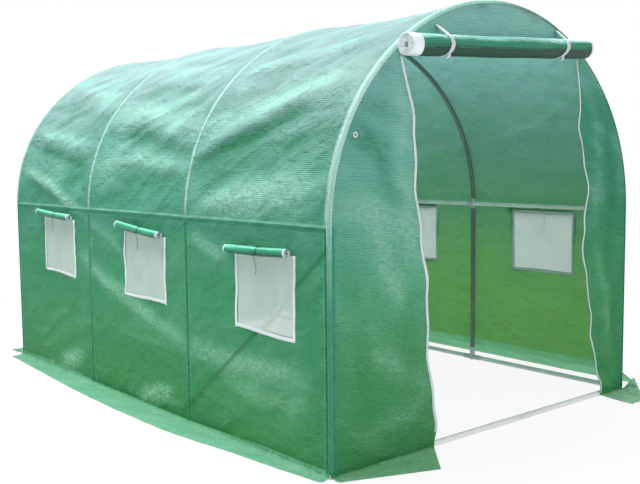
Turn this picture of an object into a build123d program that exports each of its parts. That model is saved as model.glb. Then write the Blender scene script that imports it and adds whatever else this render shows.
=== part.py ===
from build123d import *

import math
import os

# Polytunnel greenhouse: bent steel hoops on a ground frame, under a woven sheet cover.
# Millimetres. X across the tunnel, Y along it with the doorway at -Y, Z up.
# The origin is the middle of the footprint, on the ground.

# Tunnel
BAY_LENGTH = 1000.0
BAY_COUNT = 3
TUNNEL_WIDTH = 2000.0
EAVE_HEIGHT = 955.0
ARCH_RISE = 935.0
SHOULDER_SWEEP = 40.6

# Steel tube and its fittings
TUBE_D = 25.0
TUBE_WALL = 1.2
FIT_GAP = 0.3
SLEEVE_WALL = 1.5
SLEEVE_LENGTH = 56.0
SOCKET_LENGTH = 60.0
JOINER_LENGTH = 90.0
LEG_SOCKET_WALL = 2.2
TUBE_STOP = 17.0
BRACE_D = 19.0
BRACE_WALL = 1.0
BRACE_END_DROP = 75.0
BRACE_TAB_LENGTH = 46.0
BRACE_TAB_WIDTH = 27.0
BRACE_TAPER = 34.0
BRACE_BOLT_D = 6.5

# Cover sheet
SHEET = 3.0
RIGHT_HEM_HEIGHT = 96.0
LEFT_SKIRT_WIDTH = 172.0
LEFT_SKIRT_END_WIDTH = 75.0
RIGHT_SKIRT_WIDTH = 170.0
REAR_SKIRT_WIDTH = 200.0
FRONT_SKIRT_WIDTH = 200.0
FRONT_SKIRT_CORNER_WIDTH = 40.0
FRONT_SKIRT_SLANT = 160.0

# Doorway, with x measured from the middle of the front and heights from the eave
JAMB_LEFT_TOP_X = -640.0
JAMB_LEFT_EAVE_X = -518.0
JAMB_LEFT_GROUND_X = -435.0
JAMB_RIGHT_TOP_X = 545.0
JAMB_RIGHT_EAVE_X = 636.0
JAMB_RIGHT_KNEE_X = 655.0
JAMB_RIGHT_GROUND_X = 800.0
DOOR_HEAD_RISE = 713.0
DOOR_TILT = 3.0
ZIP_WIDTH = 18.0
ZIP_THICKNESS = 2.0
EYELET_X = -880.0
EYELET_RISE = 370.0
EYELET_HOLE_D = 12.0
EYELET_RIM = 6.0

# Rolled-up door
DOOR_ROLL_D = 90.0
DOOR_ROLL_TURNS = 9
DOOR_ROLL_LENGTH = 1265.0
DOOR_ROLL_X = -54.0
DOOR_ROLL_RISE = 33.0
TAPE = 1.5
WINDING_GAP = 0.35
DOOR_TIE_SPACING = 780.0
DOOR_TIE_WIDTH = 22.0
DOOR_TIE_TAB = 45.0

# Mesh windows with rolled-up flaps
WINDOW_WIDTH = 390.0
WINDOW_HEIGHT = 318.0
WINDOW_DROP_LEFT = 115.0
WINDOW_DROP_RIGHT = 42.0
WINDOW_STEP_LEFT = 33.0
WINDOW_STEP_RIGHT = 0.0
WINDOW_SHIFT_LEFT = -90.0
WINDOW_SHIFT_RIGHT = 0.0
MESH_THICKNESS = 1.5
BINDING_WIDTH = 14.0
FLAP_ROLL_D = 40.0
FLAP_ROLL_TURNS = 4
FLAP_ROLL_LENGTH = 430.0
FLAP_ROLL_SHIFT = 30.0
FLAP_ROLL_RISE = 14.0
FLAP_TIE_WIDTH = 6.0
FLAP_TIE_TAIL = 95.0

# Values worked out from those above
HALF_WIDTH = TUNNEL_WIDTH / 2
HALF_LENGTH = BAY_LENGTH * BAY_COUNT / 2
HOOP_YS = [-HALF_LENGTH + BAY_LENGTH * i for i in range(BAY_COUNT + 1)]
TUBE_R = TUBE_D / 2
BORE_R = TUBE_R + FIT_GAP
SLEEVE_R = BORE_R + SLEEVE_WALL
RAIL_OFFSET = 2 * BORE_R + SLEEVE_WALL
LEG_SOCKET_R = BORE_R + LEG_SOCKET_WALL
FOOT_Z = LEG_SOCKET_R
BRACE_REACH = BRACE_TAPER + BRACE_TAB_LENGTH - BRACE_TAB_WIDTH / 2
COVER_IN = LEG_SOCKET_R + FIT_GAP
COVER_OUT = COVER_IN + SHEET
SIDE_X = HALF_WIDTH + COVER_IN
SIDE_OUT_X = HALF_WIDTH + COVER_OUT
END_Y = HALF_LENGTH + COVER_IN
END_OUT_Y = HALF_LENGTH + COVER_OUT
RIDGE_HEIGHT = EAVE_HEIGHT + ARCH_RISE
DOOR_HEAD_HEIGHT = EAVE_HEIGHT + DOOR_HEAD_RISE
EYELET_HEIGHT = EAVE_HEIGHT + EYELET_RISE

# The arch is three arcs that run into each other: two shoulders and a flatter crown.
SWEEP = math.radians(SHOULDER_SWEEP)
RADIUS_STEP = (HALF_WIDTH - ARCH_RISE) / (math.sin(SWEEP) + math.cos(SWEEP) - 1)
SHOULDER_X = RADIUS_STEP * math.cos(SWEEP)
SHOULDER_R = HALF_WIDTH - SHOULDER_X
CROWN_R = SHOULDER_R + RADIUS_STEP
CROWN_Z = RIDGE_HEIGHT - CROWN_R


def across(y):
    """Upright plane across the tunnel, whose normal points out of the front."""
    return Plane(origin=(0, y, 0), x_dir=(1, 0, 0), z_dir=(0, -1, 0))


def other_side(shape):
    return mirror(shape, about=Plane.YZ)


def arch_edges(offset):
    """The arch from right eave to left eave, at a distance outside the tube's middle line."""
    crown_sweep = 180 - 2 * SHOULDER_SWEEP
    right = CenterArc((SHOULDER_X, EAVE_HEIGHT), SHOULDER_R + offset, 0, SHOULDER_SWEEP)
    crown = CenterArc((0, CROWN_Z), CROWN_R + offset, SHOULDER_SWEEP, crown_sweep)
    left = CenterArc((-SHOULDER_X, EAVE_HEIGHT), SHOULDER_R + offset, 180 - SHOULDER_SWEEP, SHOULDER_SWEEP)
    return [right, crown, left]


def ring(outer_r, inner_r):
    return Circle(outer_r) - Circle(inner_r)


def straight(start, end, outer_r, inner_r=0.0):
    """A tube or bar between two points."""
    run = Vector(end) - Vector(start)
    section = ring(outer_r, inner_r) if inner_r else Circle(outer_r)
    return extrude(Plane(origin=start, z_dir=run) * section, amount=run.length)


def tube(start, end):
    return straight(start, end, TUBE_R, TUBE_R - TUBE_WALL)


def hoop_arch(y):
    """One bent tube from eave to eave."""
    path = across(y) * Wire(arch_edges(0))
    foot = Plane(origin=(HALF_WIDTH, y, EAVE_HEIGHT), x_dir=(1, 0, 0), z_dir=(0, 0, 1))
    return sweep(foot * ring(TUBE_R, TUBE_R - TUBE_WALL), path=path)


def legs(side):
    """Straight legs from the foot sockets up to the arches."""
    x = side * HALF_WIDTH
    return [tube((x, y, FOOT_Z + TUBE_STOP), (x, y, EAVE_HEIGHT)) for y in HOOP_YS]


def rail_sleeve_ends(y):
    """Where the rail's sleeve begins and ends: it is cut short at the two end hoops."""
    half = SLEEVE_LENGTH / 2
    end = HALF_LENGTH + SLEEVE_R
    return max(y - half, -end), min(y + half, end)


def eave_clip(y):
    """Right-hand eave fitting: a sleeve over the hoop's joint, and one for the rail inside it."""
    half = SLEEVE_LENGTH / 2
    bend = math.degrees(half / SHOULDER_R)
    below = Line((HALF_WIDTH, EAVE_HEIGHT - half), (HALF_WIDTH, EAVE_HEIGHT))
    above = CenterArc((SHOULDER_X, EAVE_HEIGHT), SHOULDER_R, 0, bend)
    path = across(y) * Wire([below, above])
    start = Plane(origin=(HALF_WIDTH, y, EAVE_HEIGHT - half), x_dir=(1, 0, 0), z_dir=(0, 0, 1))
    rail_x = HALF_WIDTH - RAIL_OFFSET
    near, far = rail_sleeve_ends(y)
    rail_start = (rail_x, near, EAVE_HEIGHT)
    rail_end = (rail_x, far, EAVE_HEIGHT)
    body = sweep(start * Circle(SLEEVE_R), path=path) + straight(rail_start, rail_end, SLEEVE_R)
    return body - sweep(start * Circle(BORE_R), path=path) - straight(rail_start, rail_end, BORE_R)


def ridge_clip(y):
    """Ridge fitting: a curved sleeve over the crown of the hoop, and one for the rail under it."""
    half = SLEEVE_LENGTH / 2
    bend = math.degrees(half / CROWN_R)
    path = across(y) * CenterArc((0, CROWN_Z), CROWN_R, 90 - bend, 2 * bend)
    start = Plane(origin=path @ 0, z_dir=path % 0)
    rail_z = RIDGE_HEIGHT - RAIL_OFFSET
    near, far = rail_sleeve_ends(y)
    rail_start = (0, near, rail_z)
    rail_end = (0, far, rail_z)
    body = sweep(start * Circle(SLEEVE_R), path=path) + straight(rail_start, rail_end, SLEEVE_R)
    return body - sweep(start * Circle(BORE_R), path=path) - straight(rail_start, rail_end, BORE_R)


def long_rail(x, z):
    """A rail carried inside the hoops, from one end fitting to the other."""
    reach = HALF_LENGTH + SLEEVE_R
    return tube((x, -reach, z), (x, reach, z))


def ground_rails(side):
    x = side * HALF_WIDTH
    rails = []
    for near, far in zip(HOOP_YS, HOOP_YS[1:]):
        rails.append(tube((x, near + TUBE_STOP, FOOT_Z), (x, far - TUBE_STOP, FOOT_Z)))
    return rails


def end_ground_rail(y):
    """Two tubes across the end of the tunnel, joined in the middle by a sleeve."""
    reach = HALF_WIDTH - TUBE_STOP
    half = JOINER_LENGTH / 2
    joiner = straight((-half, y, FOOT_Z), (half, y, FOOT_Z), TUBE_R + TUBE_WALL, TUBE_R - TUBE_WALL)
    return tube((-reach, y, FOOT_Z), (reach, y, FOOT_Z)) + joiner


def foot_socket(y):
    """Right-hand foot: sockets for the leg, the side rails and, at a corner, the end rail."""
    centre = Vector(HALF_WIDTH, y, FOOT_Z)
    up = Vector(0, 0, 1)
    ways = []
    if y > HOOP_YS[0]:
        ways.append(Vector(0, -1, 0))
    if y < HOOP_YS[-1]:
        ways.append(Vector(0, 1, 0))
    if y in (HOOP_YS[0], HOOP_YS[-1]):
        ways.append(Vector(-1, 0, 0))
    body = straight((HALF_WIDTH, y, 0), centre + up * SOCKET_LENGTH, LEG_SOCKET_R)
    for way in ways:
        body += straight(centre, centre + way * SOCKET_LENGTH, SLEEVE_R)
    for way in [up, *ways]:
        body -= straight(centre + way * TUBE_STOP, centre + way * SOCKET_LENGTH, BORE_R)
    return body


def flat_end():
    """One end of a brace: the round tube squeezed to a drilled tab, flush with the tube's near side.

    It starts at the origin along +Z, and the side that meets the leg is at +X.
    """
    tab_t = 2 * BRACE_WALL
    tab_x = (BRACE_D - tab_t) / 2
    squeezed = Pos(tab_x, 0, BRACE_TAPER) * Ellipse(tab_t / 2, BRACE_TAB_WIDTH / 2)
    taper = loft([Circle(BRACE_D / 2).face(), squeezed.face()])
    tab_start = BRACE_TAPER - BRACE_WALL
    tab = Pos(0, (tab_start + BRACE_REACH) / 2) * Rectangle(BRACE_TAB_WIDTH, BRACE_REACH - tab_start)
    tab += Pos(0, BRACE_REACH) * Circle(BRACE_TAB_WIDTH / 2)
    tab -= Pos(0, BRACE_REACH) * Circle(BRACE_BOLT_D / 2)
    return taper + Pos(tab_x - tab_t / 2, 0, 0) * extrude(Plane.YZ * tab, amount=tab_t)


def wall_brace(side, top_y, foot_y):
    """A thin tube across one bay of a side wall, its flattened ends bolted inside the legs."""
    x = side * (HALF_WIDTH - TUBE_R - FIT_GAP - BRACE_D / 2)
    top = Vector(x, top_y, EAVE_HEIGHT - BRACE_END_DROP)
    foot = Vector(x, foot_y, FOOT_Z + BRACE_END_DROP)
    run = (foot - top).normalized()
    outward = Vector(side, 0, 0)
    tube_top = top + run * BRACE_REACH
    tube_foot = foot - run * BRACE_REACH
    body = straight(tube_top, tube_foot, BRACE_D / 2, BRACE_D / 2 - BRACE_WALL)
    top_end = Plane(origin=tube_top, x_dir=outward, z_dir=run * -1) * flat_end()
    foot_end = Plane(origin=tube_foot, x_dir=outward, z_dir=run) * flat_end()
    return body + top_end + foot_end


def roof():
    """The sheet over the arches, between the two end panels."""
    outer = arch_edges(COVER_OUT)
    inner = arch_edges(COVER_IN)
    right = Line((SIDE_X, EAVE_HEIGHT), (SIDE_OUT_X, EAVE_HEIGHT))
    left = Line((-SIDE_X, EAVE_HEIGHT), (-SIDE_OUT_X, EAVE_HEIGHT))
    section = make_face([*outer, *inner, right, left])
    return extrude(across(END_Y) * section, amount=2 * END_Y)


def windows(side):
    """The middle y and the sill height of each window in a side wall, from the front."""
    shift = WINDOW_SHIFT_LEFT if side < 0 else WINDOW_SHIFT_RIGHT
    drop = WINDOW_DROP_LEFT if side < 0 else WINDOW_DROP_RIGHT
    step = WINDOW_STEP_LEFT if side < 0 else WINDOW_STEP_RIGHT
    sill = EAVE_HEIGHT - drop - WINDOW_HEIGHT
    return [(y + BAY_LENGTH / 2 + shift, sill + step * bay) for bay, y in enumerate(HOOP_YS[:-1])]


def slab(x0, x1, y0, y1, z0, z1):
    size = (abs(x1 - x0), abs(y1 - y0), abs(z1 - z0))
    return Pos((x0 + x1) / 2, (y0 + y1) / 2, (z0 + z1) / 2) * Box(*size)


def side_wall(side, hem):
    """Sheet from the hem to the eave, with a window cut in each bay."""
    wall = slab(side * SIDE_X, side * SIDE_OUT_X, -END_Y, END_Y, hem, EAVE_HEIGHT)
    half = WINDOW_WIDTH / 2
    for y, sill in windows(side):
        wall -= slab(side * (SIDE_X - SHEET), side * (SIDE_OUT_X + SHEET), y - half, y + half,
                     sill, sill + WINDOW_HEIGHT)
    return wall


def window_meshes(side):
    middle = HALF_WIDTH + (COVER_IN + COVER_OUT) / 2
    inner = side * (middle - MESH_THICKNESS / 2)
    outer = side * (middle + MESH_THICKNESS / 2)
    half = WINDOW_WIDTH / 2
    return [slab(inner, outer, y - half, y + half, sill, sill + WINDOW_HEIGHT) for y, sill in windows(side)]


def window_bindings(side):
    """Tape sewn round the sides and foot of each window."""
    tapes = []
    half = WINDOW_WIDTH / 2
    for y, sill in windows(side):
        top = sill + WINDOW_HEIGHT
        outer = slab(side * SIDE_OUT_X, side * (SIDE_OUT_X + TAPE), y - half - BINDING_WIDTH,
                     y + half + BINDING_WIDTH, sill - BINDING_WIDTH, top)
        hole = slab(side * (SIDE_OUT_X - TAPE), side * (SIDE_OUT_X + 2 * TAPE), y - half, y + half,
                    sill, top + TAPE)
        tapes.append(outer - hole)
    return tapes


def wound_section(radius, turns):
    """Section of a sheet wound on itself, as half rounds that grow by half a winding each.

    Its free edge lies on +X at the full radius.
    """
    winding = SHEET + WINDING_GAP
    core_r = radius - SHEET - turns * winding
    arcs = []
    for half_turn in range(2 * turns):
        inner_r = core_r + half_turn * winding / 2
        centre = (0, 0) if half_turn % 2 == 0 else (winding / 2, 0)
        start = 180 * (half_turn % 2)
        arcs += [CenterArc(centre, inner_r, start, 180), CenterArc(centre, inner_r + SHEET, start, 180)]
    core_edge = Line((core_r, 0), (core_r + SHEET, 0))
    free_edge = Line((radius - SHEET, 0), (radius, 0))
    return make_face([*arcs, core_edge, free_edge])


def flap_roll_place(side, y, sill):
    x = side * (SIDE_OUT_X + TAPE + FIT_GAP + FLAP_ROLL_D / 2)
    return Pos(x, y + FLAP_ROLL_SHIFT, sill + WINDOW_HEIGHT + FLAP_ROLL_RISE)


def flap_rolls(side):
    """The green flap of each window, rolled up over the mesh."""
    section = Plane.XZ * wound_section(FLAP_ROLL_D / 2, FLAP_ROLL_TURNS)
    roll = extrude(section, amount=FLAP_ROLL_LENGTH / 2, both=True)
    return [flap_roll_place(side, y, sill) * roll for y, sill in windows(side)]


def flap_ties(side):
    """Tape round the middle of each rolled flap, sewn to the wall above, with a hanging tail."""
    inner_r = FLAP_ROLL_D / 2 + FIT_GAP
    outer_r = inner_r + TAPE
    loop = extrude(Plane.XZ * ring(outer_r, inner_r), amount=FLAP_TIE_WIDTH / 2, both=True)
    half = FLAP_TIE_WIDTH / 2
    tab = slab(-side * inner_r, -side * outer_r, -half, half, 0, FLAP_ROLL_D)
    tail = slab(side * inner_r, side * outer_r, -half, half, -FLAP_TIE_TAIL, 0)
    return [flap_roll_place(side, y, sill) * (loop + tab + tail) for y, sill in windows(side)]


def end_outline():
    """The whole end of the cover, from the ground up to the outside of the roof."""
    base = Line((-SIDE_OUT_X, SHEET), (SIDE_OUT_X, SHEET))
    right = Line((SIDE_OUT_X, SHEET), (SIDE_OUT_X, EAVE_HEIGHT))
    left = Line((-SIDE_OUT_X, SHEET), (-SIDE_OUT_X, EAVE_HEIGHT))
    return make_face([base, right, left, *arch_edges(COVER_OUT)])


def left_jamb():
    """Left edge of the doorway, from above the door head down to the foot of the sheet."""
    return ThreePointArc((JAMB_LEFT_TOP_X, RIDGE_HEIGHT), (JAMB_LEFT_EAVE_X, EAVE_HEIGHT),
                         (JAMB_LEFT_GROUND_X, SHEET))


def right_jamb():
    """The right edge hangs straight to knee height, and its foot is pulled aside."""
    knee = (JAMB_RIGHT_KNEE_X, EAVE_HEIGHT / 2)
    return Spline((JAMB_RIGHT_TOP_X, RIDGE_HEIGHT), (JAMB_RIGHT_EAVE_X, EAVE_HEIGHT), knee,
                  (JAMB_RIGHT_GROUND_X, SHEET))


def head_plane():
    """Plane along the sloping head of the doorway, with its normal up."""
    tilt = math.radians(DOOR_TILT)
    return Plane(origin=(DOOR_ROLL_X, 0, DOOR_HEAD_HEIGHT), x_dir=(math.cos(tilt), 0, math.sin(tilt)),
                 z_dir=(-math.sin(tilt), 0, math.cos(tilt)))


def front_panels():
    """The sheet over, left and right of the doorway."""
    sheet = extrude(across(-END_Y) * end_outline(), amount=SHEET)
    left = left_jamb()
    right = right_jamb()
    doorway = make_face([left, right, Line(left @ 0, right @ 0), Line(left @ 1, right @ 1)])
    doorway = extrude(across(-END_Y + SHEET) * doorway, amount=3 * SHEET)
    foot_gap = slab(JAMB_LEFT_GROUND_X, JAMB_RIGHT_GROUND_X, -END_Y + SHEET, -END_OUT_Y - SHEET, 0, SHEET)
    over = split(sheet, bisect_by=head_plane(), keep=Keep.TOP)
    beside = split(sheet - doorway - foot_gap, bisect_by=head_plane(), keep=Keep.BOTTOM)
    beside_left, beside_right = beside.solids().sort_by(Axis.X)
    hole = straight((EYELET_X, -END_Y + SHEET, EYELET_HEIGHT), (EYELET_X, -END_OUT_Y - SHEET, EYELET_HEIGHT),
                    EYELET_HOLE_D / 2)
    return over, beside_left - hole, beside_right


def door_zip(edge, side):
    """Zip tape along one side of the doorway, on the front of the sheet."""
    away = Pos(side * ZIP_WIDTH, 0) * edge
    band = make_face([edge, away, Line(edge @ 0, away @ 0), Line(edge @ 1, away @ 1)])
    tape = extrude(across(-END_OUT_Y) * band, amount=ZIP_THICKNESS)
    return split(tape, bisect_by=head_plane(), keep=Keep.BOTTOM)


def eyelet():
    """Rim of the eyelet in the front sheet, a flat ring on its outer face."""
    outer_r = EYELET_HOLE_D / 2 + EYELET_RIM
    rim = extrude(across(-END_OUT_Y) * ring(outer_r, EYELET_HOLE_D / 2), amount=EYELET_RIM / 4)
    return Pos(EYELET_X, 0, EYELET_HEIGHT) * rim


def door_roll_place():
    y = -(END_OUT_Y + TAPE + FIT_GAP + DOOR_ROLL_D / 2)
    return Pos(DOOR_ROLL_X, y, DOOR_HEAD_HEIGHT + DOOR_ROLL_RISE) * Rot(0, -DOOR_TILT, 0)


def door_roll():
    """The door sheet, rolled up along the head of the doorway."""
    section = Plane.YZ * wound_section(DOOR_ROLL_D / 2, DOOR_ROLL_TURNS)
    return door_roll_place() * extrude(section, amount=DOOR_ROLL_LENGTH / 2, both=True)


def door_ties():
    """Two tapes that hold the rolled door, sewn to the sheet above it."""
    inner_r = DOOR_ROLL_D / 2 + FIT_GAP
    outer_r = inner_r + TAPE
    half = DOOR_TIE_WIDTH / 2
    loop = extrude(Plane.YZ * ring(outer_r, inner_r), amount=half, both=True)
    tab = slab(-half, half, inner_r, outer_r, 0, DOOR_ROLL_D / 2 + DOOR_TIE_TAB)
    tie = loop + tab
    return [door_roll_place() * Pos(side * DOOR_TIE_SPACING / 2, 0, 0) * tie for side in (-1, 1)]


def rear_panel():
    return extrude(across(END_OUT_Y) * end_outline(), amount=SHEET)


def left_skirt():
    """The left skirt lies on the ground, widest in its middle."""
    end_x = -SIDE_X - LEFT_SKIRT_END_WIDTH
    edge = ThreePointArc((end_x, -END_Y), (-SIDE_X - LEFT_SKIRT_WIDTH, 0), (end_x, END_Y))
    front = Line((-SIDE_X, -END_Y), (end_x, -END_Y))
    rear = Line((end_x, END_Y), (-SIDE_X, END_Y))
    wall = Line((-SIDE_X, END_Y), (-SIDE_X, -END_Y))
    return extrude(make_face([edge, front, rear, wall]), amount=SHEET)


def right_skirt():
    """The right skirt slopes from the raised hem down to the ground."""
    tip = SIDE_OUT_X + RIGHT_SKIRT_WIDTH
    outline = Polyline((SIDE_X, RIGHT_HEM_HEIGHT), (SIDE_OUT_X, RIGHT_HEM_HEIGHT), (tip, SHEET),
                       (tip, 0), (tip - 3 * SHEET, 0), close=True)
    return extrude(across(END_Y) * make_face(outline), amount=2 * END_Y)


def front_skirt(door_x, tip_x, corner_x):
    """A front skirt, from the doorway to a corner, where it narrows."""
    outline = Polyline((door_x, -END_Y), (tip_x, -END_Y - FRONT_SKIRT_WIDTH),
                       (corner_x, -END_Y - FRONT_SKIRT_CORNER_WIDTH), (corner_x, -END_Y), close=True)
    return extrude(make_face(outline), amount=SHEET)


def rear_skirt():
    return slab(-SIDE_X, SIDE_X, END_Y, END_Y + REAR_SKIRT_WIDTH, 0, SHEET)


def write(name, shape):
    """One file for each node. A list makes one node of several separate solids."""
    if isinstance(shape, list):
        shape = Compound(children=[solid for item in shape for solid in item.solids()])
    export_step(shape, f"parts/{name}.step")


os.makedirs("parts", exist_ok=True)

for index, hoop_y in enumerate(HOOP_YS, start=1):
    write(f"hoop_arch_{index}", hoop_arch(hoop_y))
write("legs_left", legs(-1))
write("legs_right", legs(1))

clips = [eave_clip(y) for y in HOOP_YS]
write("eave_clips_right", clips)
write("eave_clips_left", [other_side(clip) for clip in clips])
write("ridge_clips", [ridge_clip(y) for y in HOOP_YS])
write("eave_rail_left", long_rail(-(HALF_WIDTH - RAIL_OFFSET), EAVE_HEIGHT))
write("eave_rail_right", long_rail(HALF_WIDTH - RAIL_OFFSET, EAVE_HEIGHT))
write("ridge_rail", long_rail(0, RIDGE_HEIGHT - RAIL_OFFSET))

feet = [foot_socket(y) for y in HOOP_YS]
write("feet_right", feet)
write("feet_left", [other_side(foot) for foot in feet])
write("ground_rails_left", ground_rails(-1))
write("ground_rails_right", ground_rails(1))
write("ground_rail_front", end_ground_rail(HOOP_YS[0]))
write("ground_rail_rear", end_ground_rail(HOOP_YS[-1]))
write("brace_left", wall_brace(-1, HOOP_YS[0], HOOP_YS[1]))
write("brace_right", wall_brace(1, HOOP_YS[-1], HOOP_YS[-2]))

write("cover_roof", roof())
write("cover_wall_left", side_wall(-1, SHEET))
write("cover_wall_right", side_wall(1, RIGHT_HEM_HEIGHT))
front_over, front_left, front_right = front_panels()
write("front_panel_over_door", front_over)
write("front_panel_left", front_left)
write("front_panel_right", front_right)
write("rear_panel", rear_panel())

write("skirt_left", left_skirt())
write("skirt_right", right_skirt())
write("skirt_front_left", front_skirt(JAMB_LEFT_GROUND_X, JAMB_LEFT_GROUND_X - FRONT_SKIRT_SLANT, -SIDE_X))
write("skirt_front_right", front_skirt(JAMB_RIGHT_GROUND_X, JAMB_RIGHT_GROUND_X, SIDE_X))
write("skirt_rear", rear_skirt())

write("door_roll", door_roll())
write("door_ties", door_ties())
write("door_zip_left", door_zip(left_jamb(), -1))
write("door_zip_right", door_zip(right_jamb(), 1))
write("front_eyelet", eyelet())

for side_name, side in (("left", -1), ("right", 1)):
    write(f"window_meshes_{side_name}", window_meshes(side))
    write(f"window_bindings_{side_name}", window_bindings(side))
    write(f"window_flap_rolls_{side_name}", flap_rolls(side))
    write(f"window_flap_ties_{side_name}", flap_ties(side))
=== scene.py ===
"""Looks for a walk-in polytunnel greenhouse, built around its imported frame."""
import math
from collections import namedtuple

import bmesh
import bpy
import numpy as np
from bpy.props import FloatProperty, FloatVectorProperty, IntProperty, PointerProperty
from mathutils import Matrix, Vector


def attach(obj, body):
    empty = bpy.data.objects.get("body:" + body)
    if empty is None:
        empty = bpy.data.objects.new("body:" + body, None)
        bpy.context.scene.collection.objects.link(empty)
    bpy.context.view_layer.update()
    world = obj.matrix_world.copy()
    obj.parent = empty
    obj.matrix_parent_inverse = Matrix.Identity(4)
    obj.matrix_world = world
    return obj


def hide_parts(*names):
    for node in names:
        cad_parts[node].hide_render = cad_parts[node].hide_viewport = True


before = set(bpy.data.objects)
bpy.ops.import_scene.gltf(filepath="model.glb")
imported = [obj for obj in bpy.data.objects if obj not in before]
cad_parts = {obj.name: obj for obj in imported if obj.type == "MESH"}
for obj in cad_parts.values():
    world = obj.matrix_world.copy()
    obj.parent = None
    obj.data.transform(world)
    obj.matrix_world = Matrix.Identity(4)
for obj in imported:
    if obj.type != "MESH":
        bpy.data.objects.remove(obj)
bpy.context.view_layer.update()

bl_info = {
    "name": "Polytunnel greenhouse",
    "version": (1, 0, 0),
    "blender": (4, 5, 0),
    "location": "View3D > Sidebar > Polytunnel",
    "description": "Sheet cover, rolled door, mesh windows and steel finishes for a walk-in polytunnel",
    "category": "Object",
}

# Frame sizes, in metres, as the CAD source has them
BAY = 1.0
HALF_LENGTH = 1.5
HALF_WIDTH = 1.0
EAVE = 0.955
RISE = 0.935
SWEEP = math.radians(40.6)
RADIUS_STEP = (HALF_WIDTH - RISE) / (math.sin(SWEEP) + math.cos(SWEEP) - 1)
SHOULDER_X = RADIUS_STEP * math.cos(SWEEP)
SHOULDER_R = HALF_WIDTH - SHOULDER_X
CROWN_R = SHOULDER_R + RADIUS_STEP
CROWN_Z = EAVE + RISE - CROWN_R
WRAP = 0.0168
EDGE_TURN = math.radians(45)
EDGE_OUT = WRAP * math.sin(EDGE_TURN)
END_Y = HALF_LENGTH + WRAP

SHOULDER_RUN = (SHOULDER_R + WRAP) * SWEEP
CROWN_RUN = (CROWN_R + WRAP) * (math.pi - 2 * SWEEP)
SECTION_RUN = 2 * EAVE + 2 * SHOULDER_RUN + CROWN_RUN
FULL_HEIGHT = 1.91
LIE = 0.0026    # height of a skirt's outer face where it lies on the ground
SKIRT_ROWS = 11
COLUMN_STEP = 0.0192    # about how far apart the long cover's columns are
STITCH_HEIGHT = 0.0006

# Heights of the left windows' feet and tops, which climb towards the rear, and of the right ones
LEFT_SILL = ((-1.5, 0.520), (-1.285, 0.518), (-0.895, 0.527), (-0.285, 0.552), (0.105, 0.560),
             (0.715, 0.588), (1.105, 0.602), (1.5, 0.61))
LEFT_TOP = ((-1.5, 0.850), (-1.285, 0.848), (-0.895, 0.834), (-0.285, 0.862), (0.105, 0.878),
            (0.715, 0.900), (1.105, 0.914), (1.5, 0.92))
RIGHT_SILL = ((-1.5, 0.592), (-0.8, 0.596), (0.0, 0.597), (1.5, 0.599))
RIGHT_TOP = ((-1.5, 0.912), (-0.8, 0.914), (0.0, 0.914), (1.5, 0.913))
WINDOW_WIDTH = 0.39
LEFT_WINDOW_YS = (-1.09, -0.09, 0.91)
RIGHT_WINDOW_YS = (-1.0, 0.0, 1.0)
# Heights of the flaps' rolls over the windows, and how steeply each roll climbs
WINDOW_SIDES = (
    (-1, "left", LEFT_WINDOW_YS, LEFT_SILL, LEFT_TOP, (0.854, 0.887, 0.922), (-0.020, 0.077, 0.045)),
    (1, "right", RIGHT_WINDOW_YS, RIGHT_SILL, RIGHT_TOP, (0.927, 0.927, 0.927), (0.01, -0.02, 0.015)),
)
Window = namedtuple("Window", "side word number middle sill top roll_z slope")
FLAP_SHIFT = 0.030
FLAP_TIE_AT = -0.018
FLAP_TURNS = 3.6

# Right wall's hem and skirt, and the height of the left wall's fold and its skirt's width along the tunnel
RIGHT_HEM = 0.096
RIGHT_SKIRT = 0.170
LEFT_FOLD = ((-1.52, 0.034), (-0.95, 0.026), (-0.49, 0.012), (0.0, 0.014), (0.45, 0.016), (0.93, 0.042),
             (1.52, 0.030))
LEFT_SKIRT = ((-1.52, 0.048), (-1.26, 0.078), (-0.94, 0.108), (-0.60, 0.148), (-0.15, 0.158), (0.38, 0.146),
              (1.0, 0.108), (1.52, 0.072))

# Edges of the doorway, as height and place across
LEFT_JAMB = ((0.0, -0.440), (0.106, -0.432), (0.286, -0.451), (0.506, -0.469), (0.680, -0.484),
             (0.844, -0.508), (0.958, -0.518), (1.166, -0.541), (1.33, -0.559), (1.491, -0.588),
             (1.633, -0.628), (1.75, -0.668))
RIGHT_JAMB = ((0.0, 0.805), (0.06, 0.800), (0.162, 0.772), (0.317, 0.722), (0.513, 0.668), (0.667, 0.646),
              (0.896, 0.640), (1.094, 0.636), (1.217, 0.612), (1.471, 0.585), (1.687, 0.548), (1.80, 0.528))
DOOR_TILT = math.radians(3.0)
HEAD_X = -0.054
HEAD_Z = 1.668
EYELET_X, EYELET_Z = -0.88, 1.325
EYELET_HOLE = 0.0072
# How far a door tie shifts along the roll, from its upper end to its lower one
TIE_SHIFTS = {-1: ((0.0, 0.014), (0.25, 0.012), (0.45, 0.012), (0.62, 0.0), (0.80, -0.024), (1.0, -0.040)),
              1: ((0.0, 0.048), (0.25, 0.026), (0.45, 0.012), (0.62, -0.012), (0.80, -0.040), (1.0, -0.050))}


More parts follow.
